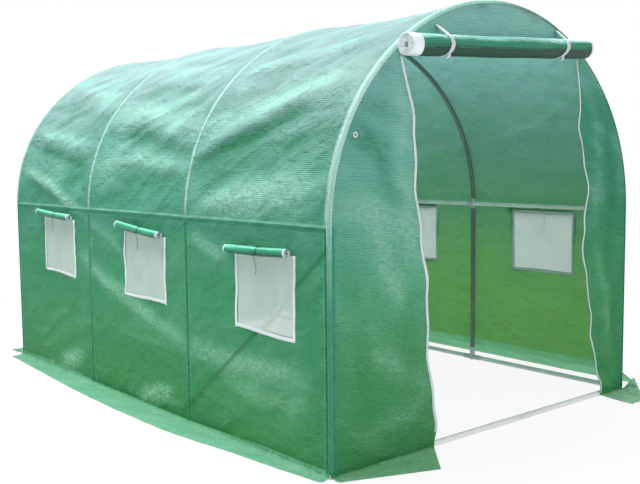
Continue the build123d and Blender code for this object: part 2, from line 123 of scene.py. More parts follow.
class CoverSettings(bpy.types.PropertyGroup):
    """Sizes and colours of the sheet cover."""

    sheet: FloatProperty(name="Sheet thickness", description="Thickness of the woven sheet", default=0.0012,
                         min=0.0003, max=0.004, unit="LENGTH")
    sag: FloatProperty(name="Sag", description="How far the sheet falls in between two hoops on the roof",
                       default=0.026, min=0.0, max=0.05, unit="LENGTH")
    folds: FloatProperty(name="Folds", description="Strength of the folds and creases", default=1.0, min=0.0,
                         max=2.0)
    seed: IntProperty(name="Seed", description="Seed of the small folds", default=11, min=0)
    rib: FloatProperty(name="Rib spacing", description="Distance between the ribs of the weave",
                       default=0.0085, min=0.002, max=0.03, unit="LENGTH")
    glow: FloatProperty(name="Light let through",
                        description="Share of the light that the sheet lets through", default=0.48, min=0.0,
                        max=1.0)
    # Colours of the painted highlight on folds that catch the light and of the painted shade in the deep
    # folds
    pale: FloatVectorProperty(name="Pale fold colour", description="Colour where the sheet catches the light",
                              subtype="COLOR", size=3, default=(0.50, 0.95, 0.82))
    dark: FloatVectorProperty(name="Deep fold colour", description="Colour in the deep folds",
                              subtype="COLOR", size=3, default=(0.012, 0.19, 0.075))


class DoorSettings(bpy.types.PropertyGroup):
    """Sizes of the rolled-up door and its fastenings."""

    roll_radius: FloatProperty(name="Roll radius", description="Outside radius of the rolled door",
                               default=0.0445, min=0.02, max=0.08, unit="LENGTH")
    roll_length: FloatProperty(name="Roll length", description="Length of the rolled door", default=1.204,
                               min=0.5, max=1.6, unit="LENGTH")
    turns: FloatProperty(name="Turns", description="Turns in the rolled door", default=9.6, min=2.0, max=12.0)
    collar: FloatProperty(name="White collar", description="Width of the white tape at the left end",
                          default=0.060, min=0.0, max=0.2, unit="LENGTH")
    tie_spacing: FloatProperty(name="Tie spacing", description="Distance between the two ties", default=0.78,
                               min=0.2, max=1.2, unit="LENGTH")
    zip_width: FloatProperty(name="Zip width", description="Width of the zip tape", default=0.0115, min=0.008,
                             max=0.03, unit="LENGTH")


class WindowSettings(bpy.types.PropertyGroup):
    """Sizes of the mesh windows and their rolled flaps."""

    pitch: FloatProperty(name="Mesh pitch", description="Distance between two strands of the net",
                         default=0.0026, min=0.0015, max=0.01, unit="LENGTH")
    strand: FloatProperty(name="Strand width", description="Width of one strand of the net", default=0.0017,
                          min=0.0004, max=0.004, unit="LENGTH")
    binding: FloatProperty(name="Binding width", description="Width of the white tape round a window",
                           default=0.016, min=0.005, max=0.03, unit="LENGTH")
    roll_radius: FloatProperty(name="Flap roll radius", description="Outside radius of a rolled flap",
                               default=0.0195, min=0.01, max=0.04, unit="LENGTH")
    roll_length: FloatProperty(name="Flap roll length", description="Length of a rolled flap", default=0.426,
                               min=0.2, max=0.6, unit="LENGTH")
    net_colour: FloatVectorProperty(name="Net colour", description="Colour of the net", subtype="COLOR",
                                    size=3, default=(0.66, 0.77, 0.74))
    tape_colour: FloatVectorProperty(name="Tape colour", description="Colour of the white tapes",
                                     subtype="COLOR", size=3, default=(0.86, 0.93, 0.97))


class SteelSettings(bpy.types.PropertyGroup):
    """Finish of the tubes and fittings."""

    tube_colour: FloatVectorProperty(name="Tube colour", description="Colour of the coated tubes",
                                     subtype="COLOR", size=3, default=(0.92, 0.94, 0.94))
    fitting_colour: FloatVectorProperty(name="Fitting colour", description="Colour of the fittings",
                                        subtype="COLOR", size=3, default=(0.66, 0.69, 0.70))
    roughness: FloatProperty(name="Roughness", description="Roughness of the coating", default=0.38, min=0.0,
                             max=1.0)
    bolt_radius: FloatProperty(name="Bolt radius", description="Radius of a bolt's head", default=0.0058,
                               min=0.002, max=0.01, unit="LENGTH")


class StageSettings(bpy.types.PropertyGroup):
    """Camera, lamps and floor."""

    lens: FloatProperty(name="Lens", description="Focal length on a 36 mm wide sensor", default=50.47,
                        min=10.0, max=200.0)
    key_power: FloatProperty(name="Overhead power", description="Power of the big overhead lamp",
                             default=400.0, min=0.0, unit="POWER")
    fill_power: FloatProperty(name="Front power", description="Power of the lamp before the doorway",
                              default=90.0, min=0.0, unit="POWER")
    side_power: FloatProperty(name="Far side power", description="Power of the lamp beyond the right wall",
                              default=200.0, min=0.0, unit="POWER")
    sky: FloatProperty(name="Ambient light", description="Strength of the light from all round", default=0.54,
                       min=0.0, max=2.0)


# Curves and surfaces

def smooth(points, at):
    """Values of a smooth line through points, at the places given."""
    xs, ys = np.array(points, float).T
    slopes = np.gradient(ys, xs)
    at = np.clip(np.asarray(at, float), xs[0], xs[-1])
    k = np.clip(np.searchsorted(xs, at) - 1, 0, len(xs) - 2)
    h = xs[k + 1] - xs[k]
    t = (at - xs[k]) / h
    return ((2 * t**3 - 3 * t**2 + 1) * ys[k] + (t**3 - 2 * t**2 + t) * h * slopes[k]
            + (-2 * t**3 + 3 * t**2) * ys[k + 1] + (t**3 - t**2) * h * slopes[k + 1])


def ease(t):
    """A soft step from 0 to 1."""
    t = np.clip(t, 0, 1)
    return t * t * (3 - 2 * t)


def section(s):
    """Hoop's middle line and outward normal, s metres round the cover from the left foot: x, z, nx, nz."""
    s = np.asarray(s, float)
    marks = np.cumsum([EAVE, SHOULDER_RUN, CROWN_RUN, SHOULDER_RUN])
    a1 = (s - marks[0]) / (SHOULDER_R + WRAP)
    a2 = SWEEP + (s - marks[1]) / (CROWN_R + WRAP)
    a3 = math.pi - SWEEP + (s - marks[2]) / (SHOULDER_R + WRAP)
    angle = np.select([s < marks[0], s < marks[1], s < marks[2], s < marks[3]], [0 * s, a1, a2, a3], math.pi)
    nx, nz = -np.cos(angle), np.sin(angle)
    wall_l, wall_r = s < marks[0], s >= marks[3]
    crown = (s >= marks[1]) & (s < marks[2])
    left = s < marks[1]
    x = np.where(crown, CROWN_R * nx, np.where(left, -SHOULDER_X, SHOULDER_X) + SHOULDER_R * nx)
    z = np.where(crown, CROWN_Z + CROWN_R * nz, EAVE + SHOULDER_R * nz)
    z = np.where(wall_l, s, np.where(wall_r, SECTION_RUN - s, z))
    return x, z, nx, nz


def outline_x(z, offset):
    """Half width of the tunnel at a height, at a distance outside the hoop's middle line."""
    z = np.asarray(z, float)
    shoulder_top = EAVE + (SHOULDER_R + offset) * math.sin(SWEEP)
    shoulder = SHOULDER_X + np.sqrt(np.maximum((SHOULDER_R + offset) ** 2 - (z - EAVE) ** 2, 0))
    crown = np.sqrt(np.maximum((CROWN_R + offset) ** 2 - (z - CROWN_Z) ** 2, 0))
    return np.where(z < EAVE, HALF_WIDTH + offset, np.where(z < shoulder_top, shoulder, crown))


def outline_z(x, offset):
    """Height of the tunnel's outline at a place across it, at a distance outside the hoop's middle line."""
    x = np.abs(np.asarray(x, float))
    split = (CROWN_R + offset) * math.cos(SWEEP)
    crown = CROWN_Z + np.sqrt(np.maximum((CROWN_R + offset) ** 2 - x**2, 0))
    shoulder = EAVE + np.sqrt(np.maximum((SHOULDER_R + offset) ** 2 - (x - SHOULDER_X) ** 2, 0))
    return np.where(x < split, crown, shoulder)


def beyond_hoop(x, z):
    """Distance outside the hoop's middle line."""
    x, z = np.abs(x), np.asarray(z, float)
    angle = np.arctan2(z - EAVE, x - SHOULDER_X)
    shoulder = np.hypot(x - SHOULDER_X, z - EAVE) - SHOULDER_R
    crown = np.hypot(x, z - CROWN_Z) - CROWN_R
    return np.where(z < EAVE, x - HALF_WIDTH, np.where(angle < SWEEP, shoulder, crown))


def head_height(x):
    """Height of the doorway's sloping head."""
    return HEAD_Z + (np.asarray(x, float) - HEAD_X) * math.tan(DOOR_TILT)


# Share of the full sag by the run round the cover
SAG_SHARE = ((0.0, 0.0), (0.30, 0.30), (0.60, 0.42), (EAVE, 0.55), (1.30, 0.95), (1.75, 1.0), (2.45, 0.60),
             (2.60, 0.60), (3.30, 1.0), (3.75, 0.95), (SECTION_RUN - EAVE, 0.55), (SECTION_RUN - 0.5, 0.40),
             (SECTION_RUN, 0.15))
# Folds: each is a line of points (run round the cover, place along the tunnel), then its half width,
# how far it stands out, and how much paler it is painted, a painted highlight; below 0 it is painted darker,
# as shade.
FOLDS = (
    (((1.28, -0.55), (1.38, -0.78), (1.50, -1.08), (1.58, -1.42)), 0.050, 0.019, 0.0),
    (((1.36, -0.56), (1.47, -0.80), (1.60, -1.10), (1.68, -1.42)), 0.055, 0.0, 0.75),
    (((1.22, -0.55), (1.31, -0.78), (1.42, -1.06), (1.50, -1.40)), 0.040, -0.010, -0.85),
    (((1.13, -0.60), (1.22, -0.90), (1.33, -1.20), (1.38, -1.45)), 0.060, -0.008, -0.60),
    (((1.05, -0.62), (1.08, -0.95), (1.12, -1.38)), 0.075, 0.009, 0.75),
    (((1.48, 0.46), (1.46, 0.10), (1.38, -0.20), (1.36, -0.46)), 0.050, 0.015, 0.0),
    (((1.58, 0.46), (1.55, 0.10), (1.47, -0.20), (1.45, -0.46)), 0.055, 0.0, 0.55),
    (((1.40, 0.45), (1.38, 0.12), (1.31, -0.20), (1.28, -0.46)), 0.045, -0.010, -0.75),
    (((1.22, 0.40), (1.25, 0.05), (1.20, -0.42)), 0.035, 0.010, 0.45),
    (((1.12, 0.20), (1.13, -0.15), (1.13, -0.46)), 0.045, -0.007, -0.45),
    (((1.44, 1.44), (1.38, 1.05), (1.30, 0.60)), 0.045, 0.014, 0.45),
    (((1.35, 1.44), (1.28, 1.05), (1.20, 0.62)), 0.040, -0.011, -0.75),
    (((1.19, 1.45), (1.09, 1.05), (0.99, 0.76), (0.96, 0.60)), 0.026, 0.012, 0.80),
    (((1.10, 1.40), (1.01, 1.00)), 0.035, -0.007, -0.45),
    (((1.12, 0.85), (1.14, 0.55)), 0.030, -0.006, -0.45),
    (((1.75, -0.56), (1.86, -0.90), (1.98, -1.40)), 0.045, 0.010, 0.35),
    (((1.68, -0.60), (1.78, -0.95), (1.86, -1.40)), 0.035, -0.008, -0.25),
    (((1.92, 0.44), (1.86, 0.05), (1.80, -0.44)), 0.045, 0.011, 0.30),
    (((1.76, 0.44), (1.70, 0.00), (1.66, -0.40)), 0.035, -0.008, -0.30),
    (((1.84, 1.40), (1.74, 1.00), (1.66, 0.58)), 0.045, 0.011, 0.30),
    (((1.64, 1.40), (1.58, 1.00), (1.50, 0.60)), 0.035, -0.008, -0.30),
    (((0.72, 0.62), (0.60, 0.36), (0.50, 0.02), (0.38, -0.46)), 0.040, 0.004, 0.48),
    (((0.37, -0.50), (0.35, -0.85), (0.37, -1.35)), 0.048, 0.004, 0.42),
    (((0.27, -0.78), (0.23, -1.10), (0.26, -1.38)), 0.050, 0.002, 0.24),
    (((0.93, 0.60), (0.84, 0.30), (0.74, 0.10)), 0.030, 0.003, 0.20),
    (((0.90, -0.55), (0.84, -0.66), (0.80, -0.80)), 0.030, 0.003, 0.42),
    (((0.80, 0.48), (0.72, 0.52)), 0.020, 0.004, 0.40),
    (((0.05, 0.92), (0.13, 0.66)), 0.050, 0.002, 0.60),
    (((0.04, -0.02), (0.13, -0.34)), 0.052, 0.002, 0.60),
    (((0.34, 0.42), (0.335, -0.44)), 0.010, 0.003, 0.16),
    (((0.62, 1.46), (0.50, 0.60)), 0.050, -0.004, -0.22),
    (((0.22, 0.40), (0.20, -0.40)), 0.080, -0.004, -0.30),
    (((0.68, -0.50), (0.62, -1.40)), 0.050, -0.003, -0.18),
)


def line_weight(s, y, line, width):
    """1 on a line, falling to 0 at about twice its half width and towards its ends."""
    line = np.array(line, float)
    lengths = np.linalg.norm(np.diff(line, axis=0), axis=1)
    total = lengths.sum()
    near = np.full(np.shape(s), 9.0)
    along = np.zeros(np.shape(s))
    done = 0.0
    for start, end, length in zip(line, line[1:], lengths):
        run = (end - start) / length
        t = np.clip((s - start[0]) * run[0] + (y - start[1]) * run[1], 0, length)
        gap = np.hypot(s - start[0] - t * run[0], y - start[1] - t * run[1])
        closer = gap < near
        near = np.where(closer, gap, near)
        along = np.where(closer, (done + t) / total, along)
        done += length
    taper = 0.35 + 0.65 * np.sin(np.pi * np.clip(along, 0, 1)) ** 0.6
    return np.exp(-((near / width) ** 2)) * taper


def chance_folds(seed):
    """Small seeded folds for the roof's far side and the walls, fanning out from the hoops."""
    draw = np.random.RandomState(seed)
    folds = []
    for bay in range(3):
        near = -HALF_LENGTH + BAY * bay
        for _ in range(9):
            s0 = draw.uniform(2.35, SECTION_RUN - 1.0)
            s1 = s0 + draw.uniform(-0.30, 0.30)
            y0, y1 = near + draw.uniform(0.04, 0.30), near + draw.uniform(0.60, 0.96)
            middle = ((s0 + s1) / 2 + draw.uniform(-0.05, 0.05), (y0 + y1) / 2)
            side = draw.choice((-1, 1))
            folds.append((((s0, y0), middle, (s1, y1)), draw.uniform(0.025, 0.055),
                          side * draw.uniform(0.006, 0.013), side * draw.uniform(0.2, 0.6)))
        for _ in range(7):
            s0 = draw.uniform(SECTION_RUN - 0.85, SECTION_RUN - 0.15)
            y0 = near + draw.uniform(0.05, 0.5)
            s1, y1 = s0 + draw.uniform(-0.25, 0.25), y0 + draw.uniform(0.2, 0.45)
            side = draw.choice((-1, 1))
            folds.append((((s0, y0), (s1, y1)), draw.uniform(0.02, 0.05), side * draw.uniform(0.002, 0.005),
                          side * draw.uniform(0.1, 0.35)))
        for _ in range(10):
            s0 = draw.uniform(0.1, 2.3)
            y0 = near + draw.uniform(0.05, 0.6)
            s1, y1 = s0 + draw.uniform(-0.12, 0.16), y0 + draw.uniform(0.12, 0.35)
            side = draw.choice((-1, 1))
            folds.append((((s0, y0), (s1, y1)), draw.uniform(0.010, 0.022),
                          side * draw.uniform(0.0015, 0.004), side * draw.uniform(0.08, 0.25)))
    return folds


def ripples(s, y, seed, count, low, high, height):
    """Seeded gentle waves in the sheet, each with its own heading and length."""
    draw = np.random.RandomState(seed)
    s, y = np.broadcast_arrays(s, y)
    total = np.zeros(s.shape)
    for _ in range(count):
        heading, length = draw.uniform(0, math.pi), draw.uniform(low, high)
        phase = draw.uniform(0, 2 * math.pi)
        wave = np.sin((s * math.cos(heading) + y * math.sin(heading)) * 2 * math.pi / length + phase)
        total += (1 - np.abs(wave) * 2) * length
    return total * height / (count * high)


def cover_relief(s, y, settings):
    """How far the sheet stands out from its tight line, and how pale it is painted: painted highlight and
    shade on the folds.
    """
    hoop_gap = np.abs((y + HALF_LENGTH) - np.round(y + HALF_LENGTH))
    tent = 1 - np.abs(1 - 2 * hoop_gap) ** 1.7
    out = -settings.sag * smooth(SAG_SHARE, s) * tent
    pale = np.zeros(np.shape(s))
    for line, width, height, tone in (*FOLDS, *chance_folds(settings.seed)):
        weight = line_weight(s, y, line, width)
        out += settings.folds * height * weight
        pale += tone * weight
    out += settings.folds * ripples(s, y, settings.seed, 26, 0.07, 0.30, 0.010)
    free = ease(hoop_gap / 0.06)
    from_foot = np.minimum(s, SECTION_RUN - s)
    rail = ease(np.abs(from_foot - EAVE) / 0.05)
    out = out * free * (0.55 + 0.45 * rail)
    # The rails and braces hold the sheet up
    ridge = ease((SECTION_RUN / 2 - from_foot) / 0.14)
    deepest = np.where(from_foot < EAVE + 0.05, -0.021, -0.019 - 0.05 * ridge)
    return np.maximum(out, deepest), pale


# Meshes

def spread(*parts):
    """Coordinates broadcast against each other and stacked into points."""
    return np.stack(np.broadcast_arrays(*parts), -1)


def in_scene(name, data):
    """A new object, linked to the scene."""
    item = bpy.data.objects.new(name, data)
    bpy.context.scene.collection.objects.link(item)
    return item


def grid_faces(rows, columns, skip=None):
    """Quads of a grid of points, without those that skip marks."""
    corner = np.arange(rows * columns).reshape(rows, columns)
    quads = np.stack([corner[:-1, :-1], corner[:-1, 1:], corner[1:, 1:], corner[1:, :-1]], -1)
    keep = np.ones((rows - 1, columns - 1), bool) if skip is None else ~skip
    return quads[keep]


def make_mesh(name, points, faces, uv=None, pale=None):
    """A smooth-shaded mesh object from arrays, with its weave map and paleness, the painted highlight and
    shade.
    """
    mesh = bpy.data.meshes.new(name)
    mesh.from_pydata(np.asarray(points, float).reshape(-1, 3).tolist(), [], np.asarray(faces).tolist())
    if uv is not None:
        corner = np.zeros(len(mesh.loops), np.int32)
        mesh.loops.foreach_get("vertex_index", corner)
        layer = mesh.uv_layers.new(name="weave")
        layer.data.foreach_set("uv", np.asarray(uv, np.float32).reshape(-1, 2)[corner].ravel())
    if pale is not None:
        attribute = mesh.attributes.new("pale", "FLOAT", "POINT")
        attribute.data.foreach_set("value", np.asarray(pale, np.float32).ravel())
    mesh.shade_smooth()
    return in_scene(name, mesh)


def rework(item, job):
    """Runs a bmesh job on a piece's mesh."""
    work = bmesh.new()
    work.from_mesh(item.data)
    job(work)
    work.to_mesh(item.data)
    work.free()
    item.data.shade_smooth()


def tidy_mesh(item, gap=0.00005, outward=False):
    """Merges points that lie together, drops what no face uses, and can turn every face outwards."""
    def job(work):
        bmesh.ops.remove_doubles(work, verts=work.verts, dist=gap)
        bmesh.ops.dissolve_degenerate(work, dist=gap, edges=work.edges)
        bmesh.ops.delete(work, geom=[v for v in work.verts if not v.link_faces], context="VERTS")
        if outward:
            bmesh.ops.recalc_face_normals(work, faces=work.faces)
    rework(item, job)


def thicken(item, thickness, offset=-1.0, inside_slot=0):
    """Gives a sheet its thickness, live; the inner face can have a finish of its own."""
    solid = item.modifiers.new("Thickness", "SOLIDIFY")
    solid.thickness = thickness
    solid.offset = offset
    solid.material_offset = inside_slot
    solid.use_even_offset = True
    solid.thickness_clamp = 1.0


def dress(item, materials, replaced=()):
    """Gives a piece its materials, its body and the nodes that it stands for."""
    item.data.materials.clear()
    for material in materials:
        item.data.materials.append(material)
    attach(item, "root")
    if replaced:
        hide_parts(*replaced)
    return item


def ribbon(name, left, right, thickness=0.0008, columns=3):
    """A flat tape between two lines of points."""
    left, right = np.asarray(left, float), np.asarray(right, float)
    across = np.linspace(0, 1, columns)[None, :, None]
    points = left[:, None, :] * (1 - across) + right[:, None, :] * across
    step = np.linalg.norm(np.diff((left + right) / 2, axis=0), axis=1)
    run = np.concatenate([[0], np.cumsum(step)])
    width = float(np.linalg.norm(left[0] - right[0]))
    item = make_mesh(name, points, grid_faces(len(left), columns),
                     spread(across[..., 0] * width, run[:, None]))
    thicken(item, thickness, 0.0)
    return item


def join_meshes(name, items):
    """One plain piece from several, each with its thickness applied."""
    for item in items:
        with bpy.context.temp_override(object=item, active_object=item):
            bpy.ops.object.modifier_apply(modifier=item.modifiers[0].name)
    with bpy.context.temp_override(active_object=items[0], selected_editable_objects=items):
        bpy.ops.object.join()
    items[0].name = name
    items[0].data.name = name
    return items[0]


def round_bar(name, points, radius):
    """An eight-sided bar along points, closed at both ends."""
    tangent = np.gradient(points, axis=0)
    tangent /= np.linalg.norm(tangent, axis=1)[:, None]
    u = np.cross(tangent, (0.13, 0.21, 0.97))
    u /= np.linalg.norm(u, axis=1)[:, None]
    v = np.cross(tangent, u)
    turn = np.linspace(0, 2 * np.pi, 9)[None, :, None]
    body = points[:, None] + (u[:, None] * np.cos(turn) + v[:, None] * np.sin(turn)) * radius
    caps = [points[end:end + 1 or None, None].repeat(turn.size, 1) for end in (0, -1)]
    grid = np.concatenate([caps[0], body, caps[1]])
    item = make_mesh(name, grid, grid_faces(*grid.shape[:2]))
    tidy_mesh(item, 0.00002, outward=True)
    return item


# Materials

def linear(code):
    """Linear colour of a six-figure screen colour."""
    parts = [int(code[i:i + 2], 16) / 255 for i in (0, 2, 4)]
    return tuple(p / 12.92 if p <= 0.04045 else ((p + 0.055) / 1.055) ** 2.4 for p in parts)


# Colours by share of the full height: the long cover, the front sheet, and the light through both
# The long cover's and front sheet's colours pale and turn bluer towards the top, a painted sheen of the sky
# light, and darken towards the foot
WALL_STOPS = ((0.0, (0.018, 0.23, 0.09)), (0.16, (0.020, 0.26, 0.13)), (0.30, (0.028, 0.30, 0.19)),
              (0.48, (0.050, 0.33, 0.22)), (0.58, (0.12, 0.41, 0.33)), (0.68, (0.20, 0.43, 0.40)),
              (0.84, (0.33, 0.42, 0.46)), (0.97, (0.42, 0.48, 0.55)))
END_STOPS = ((0.0, (0.02, 0.19, 0.08)), (0.10, (0.05, 0.28, 0.13)), (0.22, (0.09, 0.36, 0.19)),
             (0.40, (0.15, 0.54, 0.38)), (0.55, (0.20, 0.62, 0.52)), (0.70, (0.25, 0.67, 0.62)),
             (0.95, (0.42, 0.72, 0.72)))
# The front sheet's right side, darker all the way up: painted shade
RIGHT_STOPS = ((0.0, (0.02, 0.25, 0.10)), (0.40, (0.035, 0.32, 0.17)), (0.70, (0.06, 0.38, 0.25)),
               (0.95, (0.20, 0.55, 0.45)))
GLOW_STOPS = ((0.0, (0.54, 0.81, 0.44)), (0.35, (0.54, 0.81, 0.50)), (0.50, (0.47, 0.73, 0.56)),
              (0.70, (0.48, 0.70, 0.64)), (0.85, (0.54, 0.76, 0.76)), (1.0, (0.62, 0.84, 0.88)))
# The sheet's inner face, paler and greyer high up: painted sky light
INSIDE_STOPS = ((0.03, (0.16, 0.40, 0.12)), (0.22, (0.14, 0.38, 0.10)), (0.38, (0.12, 0.36, 0.13)),
                (0.55, (0.10, 0.32, 0.20)), (0.75, (0.15, 0.36, 0.32)), (0.97, (0.32, 0.52, 0.54)))
# The sewn bands: darker low down, and paler over the shoulders, a painted sheen
SEAM_STOPS = ((0.0, (0.015, 0.20, 0.09)), (0.36, (0.02, 0.24, 0.13)), (0.50, (0.07, 0.34, 0.24)),
              (0.62, (0.22, 0.52, 0.42)), (0.80, (0.34, 0.62, 0.56)), (0.97, (0.16, 0.48, 0.36)))
# Skirts lying on the ground are painted this paler blue-green, a painted highlight of the light on them
HEM_COLOUR = (0.17, 0.47, 0.45)
DRAWN_SLANT = math.radians(150)


class Value:
    """A number in a node tree: plain arithmetic on it lays Math nodes."""

    def __init__(self, nodes, socket):
        self.nodes, self.socket = nodes, socket

    def __add__(self, other):
        return self.nodes.math("ADD", self, other)

    def __sub__(self, other):
        return self.nodes.math("SUBTRACT", self, other)

    def __rsub__(self, other):
        return self.nodes.math("SUBTRACT", other, self)

    def __mul__(self, other):
        return self.nodes.math("MULTIPLY", self, other)

    def __truediv__(self, other):
        return self.nodes.math("DIVIDE", self, other)

    def __lt__(self, other):
        return self.nodes.math("LESS_THAN", self, other)

    def __gt__(self, other):
        return self.nodes.math("GREATER_THAN", self, other)

    def __abs__(self):
        return self.nodes.math("ABSOLUTE", self)

    def clamp(self):
        """Keeps the sum or product just laid within 0 and 1."""
        self.socket.node.use_clamp = True
        return self


class Nodes:
    """Short ways to lay out the nodes of one material or of the world."""

    def __init__(self, name, kind="materials"):
        self.owner = getattr(bpy.data, kind).new(name)
        self.owner.use_nodes = True
        self.tree = self.owner.node_tree
        self.tree.nodes.clear()

    def put(self, socket, value):
        value = value.socket if isinstance(value, Value) else value
        if isinstance(value, bpy.types.NodeSocket):
            self.tree.links.new(value, socket)
        elif value is not None:
            socket.default_value = (*value, 1.0) if socket.type == "RGBA" and len(value) == 3 else value

    def add(self, kind, inputs=None, **settings):
        """A node with its settings and inputs, by socket name or number; returns its outputs."""
        node = self.tree.nodes.new(kind)
        for key, value in settings.items():
            setattr(node, key, value)
        for key, value in (inputs or {}).items():
            self.put(node.inputs[key], value)
        return node.outputs

    def math(self, operation, *values):
        return Value(self, self.add("ShaderNodeMath", dict(enumerate(values)), operation=operation)[0])

    def mix(self, factor, a, b, blend="MIX"):
        return self.add("ShaderNodeMix", {0: factor, 6: a, 7: b}, data_type="RGBA", blend_type=blend)[2]

    def ramp(self, value, stops):
        outputs = self.add("ShaderNodeValToRGB", {"Fac": value})
        elements = outputs[0].node.color_ramp.elements
        elements[0].position, elements[-1].position = stops[0][0], stops[-1][0]
        for place, colour in stops[1:-1]:
            elements.new(place).color = (*colour, 1.0)
        elements[0].color, elements[-1].color = (*stops[0][1], 1.0), (*stops[-1][1], 1.0)
        return outputs[0]

    def band(self, value, middle, half, soft):
        """1 within half of middle, falling to 0 over soft."""
        return ((half + soft - abs(value - middle)) / soft).clamp()

    def noise(self, vector, scale, detail=3.0, rough=0.55, warp=0.0):
        return Value(self, self.add("ShaderNodeTexNoise", {"Vector": vector, "Scale": scale, "Detail": detail,
                                                           "Roughness": rough, "Distortion": warp})["Fac"])

    def split(self, vector):
        return [Value(self, part) for part in self.add("ShaderNodeSeparateXYZ", {"Vector": vector})]

    def place(self):
        """Object coordinates, whole and as x, y and z."""
        vector = self.add("ShaderNodeTexCoord")["Object"]
        return (vector, *self.split(vector))

    def weave(self):
        """The piece's own flat map, whole and in its two directions."""
        vector = self.add("ShaderNodeUVMap", uv_map="weave")[0]
        return (vector, *self.split(vector)[:2])

    def stretch(self, vector, scale, turn=(0, 0, 0)):
        return self.add("ShaderNodeMapping", {"Vector": vector, "Scale": scale, "Rotation": turn})[0]

    def bump(self, height, distance, normal=None):
        return self.add("ShaderNodeBump", {"Height": height, "Distance": distance, "Normal": normal})[0]

    def finish(self, shader, output="ShaderNodeOutputMaterial"):
        out = self.tree.nodes.new(output)
        self.tree.links.new(shader, out.inputs["Surface"])
        return self.owner

    def surface(self, base, roughness, normal, share=0.0, glow=None, **inputs):
        """The finished material: a surface that lets a share of the light from behind through."""
        shader = self.add("ShaderNodeBsdfPrincipled", {"Base Color": base, "Roughness": roughness,
                                                       "Normal": normal, **inputs})[0]
        if share:
            lit = self.add("ShaderNodeBsdfTranslucent", glow or {"Color": base})[0]
            shader = self.add("ShaderNodeMixShader", {0: share, 1: shader, 2: lit})[0]
        return self.finish(shader)


def frame_marks(n, base, hem, x, y, z):
    """Paints light and shade where the hoops, eave rail and braces press against the long cover from within.
    """
    over_eave = ((z - (EAVE - 0.02)) * 12.0).clamp()
    # Painted lines along each hoop: over it painted shade on the walls and a painted highlight on the roof;
    # beside it a band painted lighter on the walls and darker on the roof
    pale = n.mix(over_eave, (0.02, 0.20, 0.10), (0.66, 0.95, 0.90))
    deep = n.mix(over_eave, (0.10, 0.52, 0.34), (0.14, 0.44, 0.34))
    hoop_gap = n.math("PINGPONG", y + HALF_LENGTH, BAY / 2)
    on_cover = 1.0 - hem
    base = n.mix(n.band(hoop_gap, 0.015, 0.003, 0.006) * on_cover * 0.55, base, deep)
    base = n.mix(n.band(hoop_gap, 0.0, 0.0075, 0.005) * on_cover * 0.80, base, pale)
    # Painted shade under the eave rail and a painted highlight along its top
    base = n.mix(n.band(z, EAVE + 0.004, 0.006, 0.006) * 0.70, base, (0.015, 0.20, 0.10))
    base = n.mix(n.band(z, EAVE + 0.019, 0.003, 0.005) * 0.6, base, (0.40, 0.85, 0.66))
    # The left brace falls towards the rear from the front leg, and the right one towards the front; each is
    # painted as a shade line
    along = n.math("SIGN", x) * y * -1.0
    fall = (along + HALF_LENGTH) * -0.79 + 0.88
    brace = n.band((z - fall) * 0.785, 0.0, 0.007, 0.006) * (along < -0.5)
    return n.mix(brace * 0.60, base, (0.01, 0.15, 0.08))


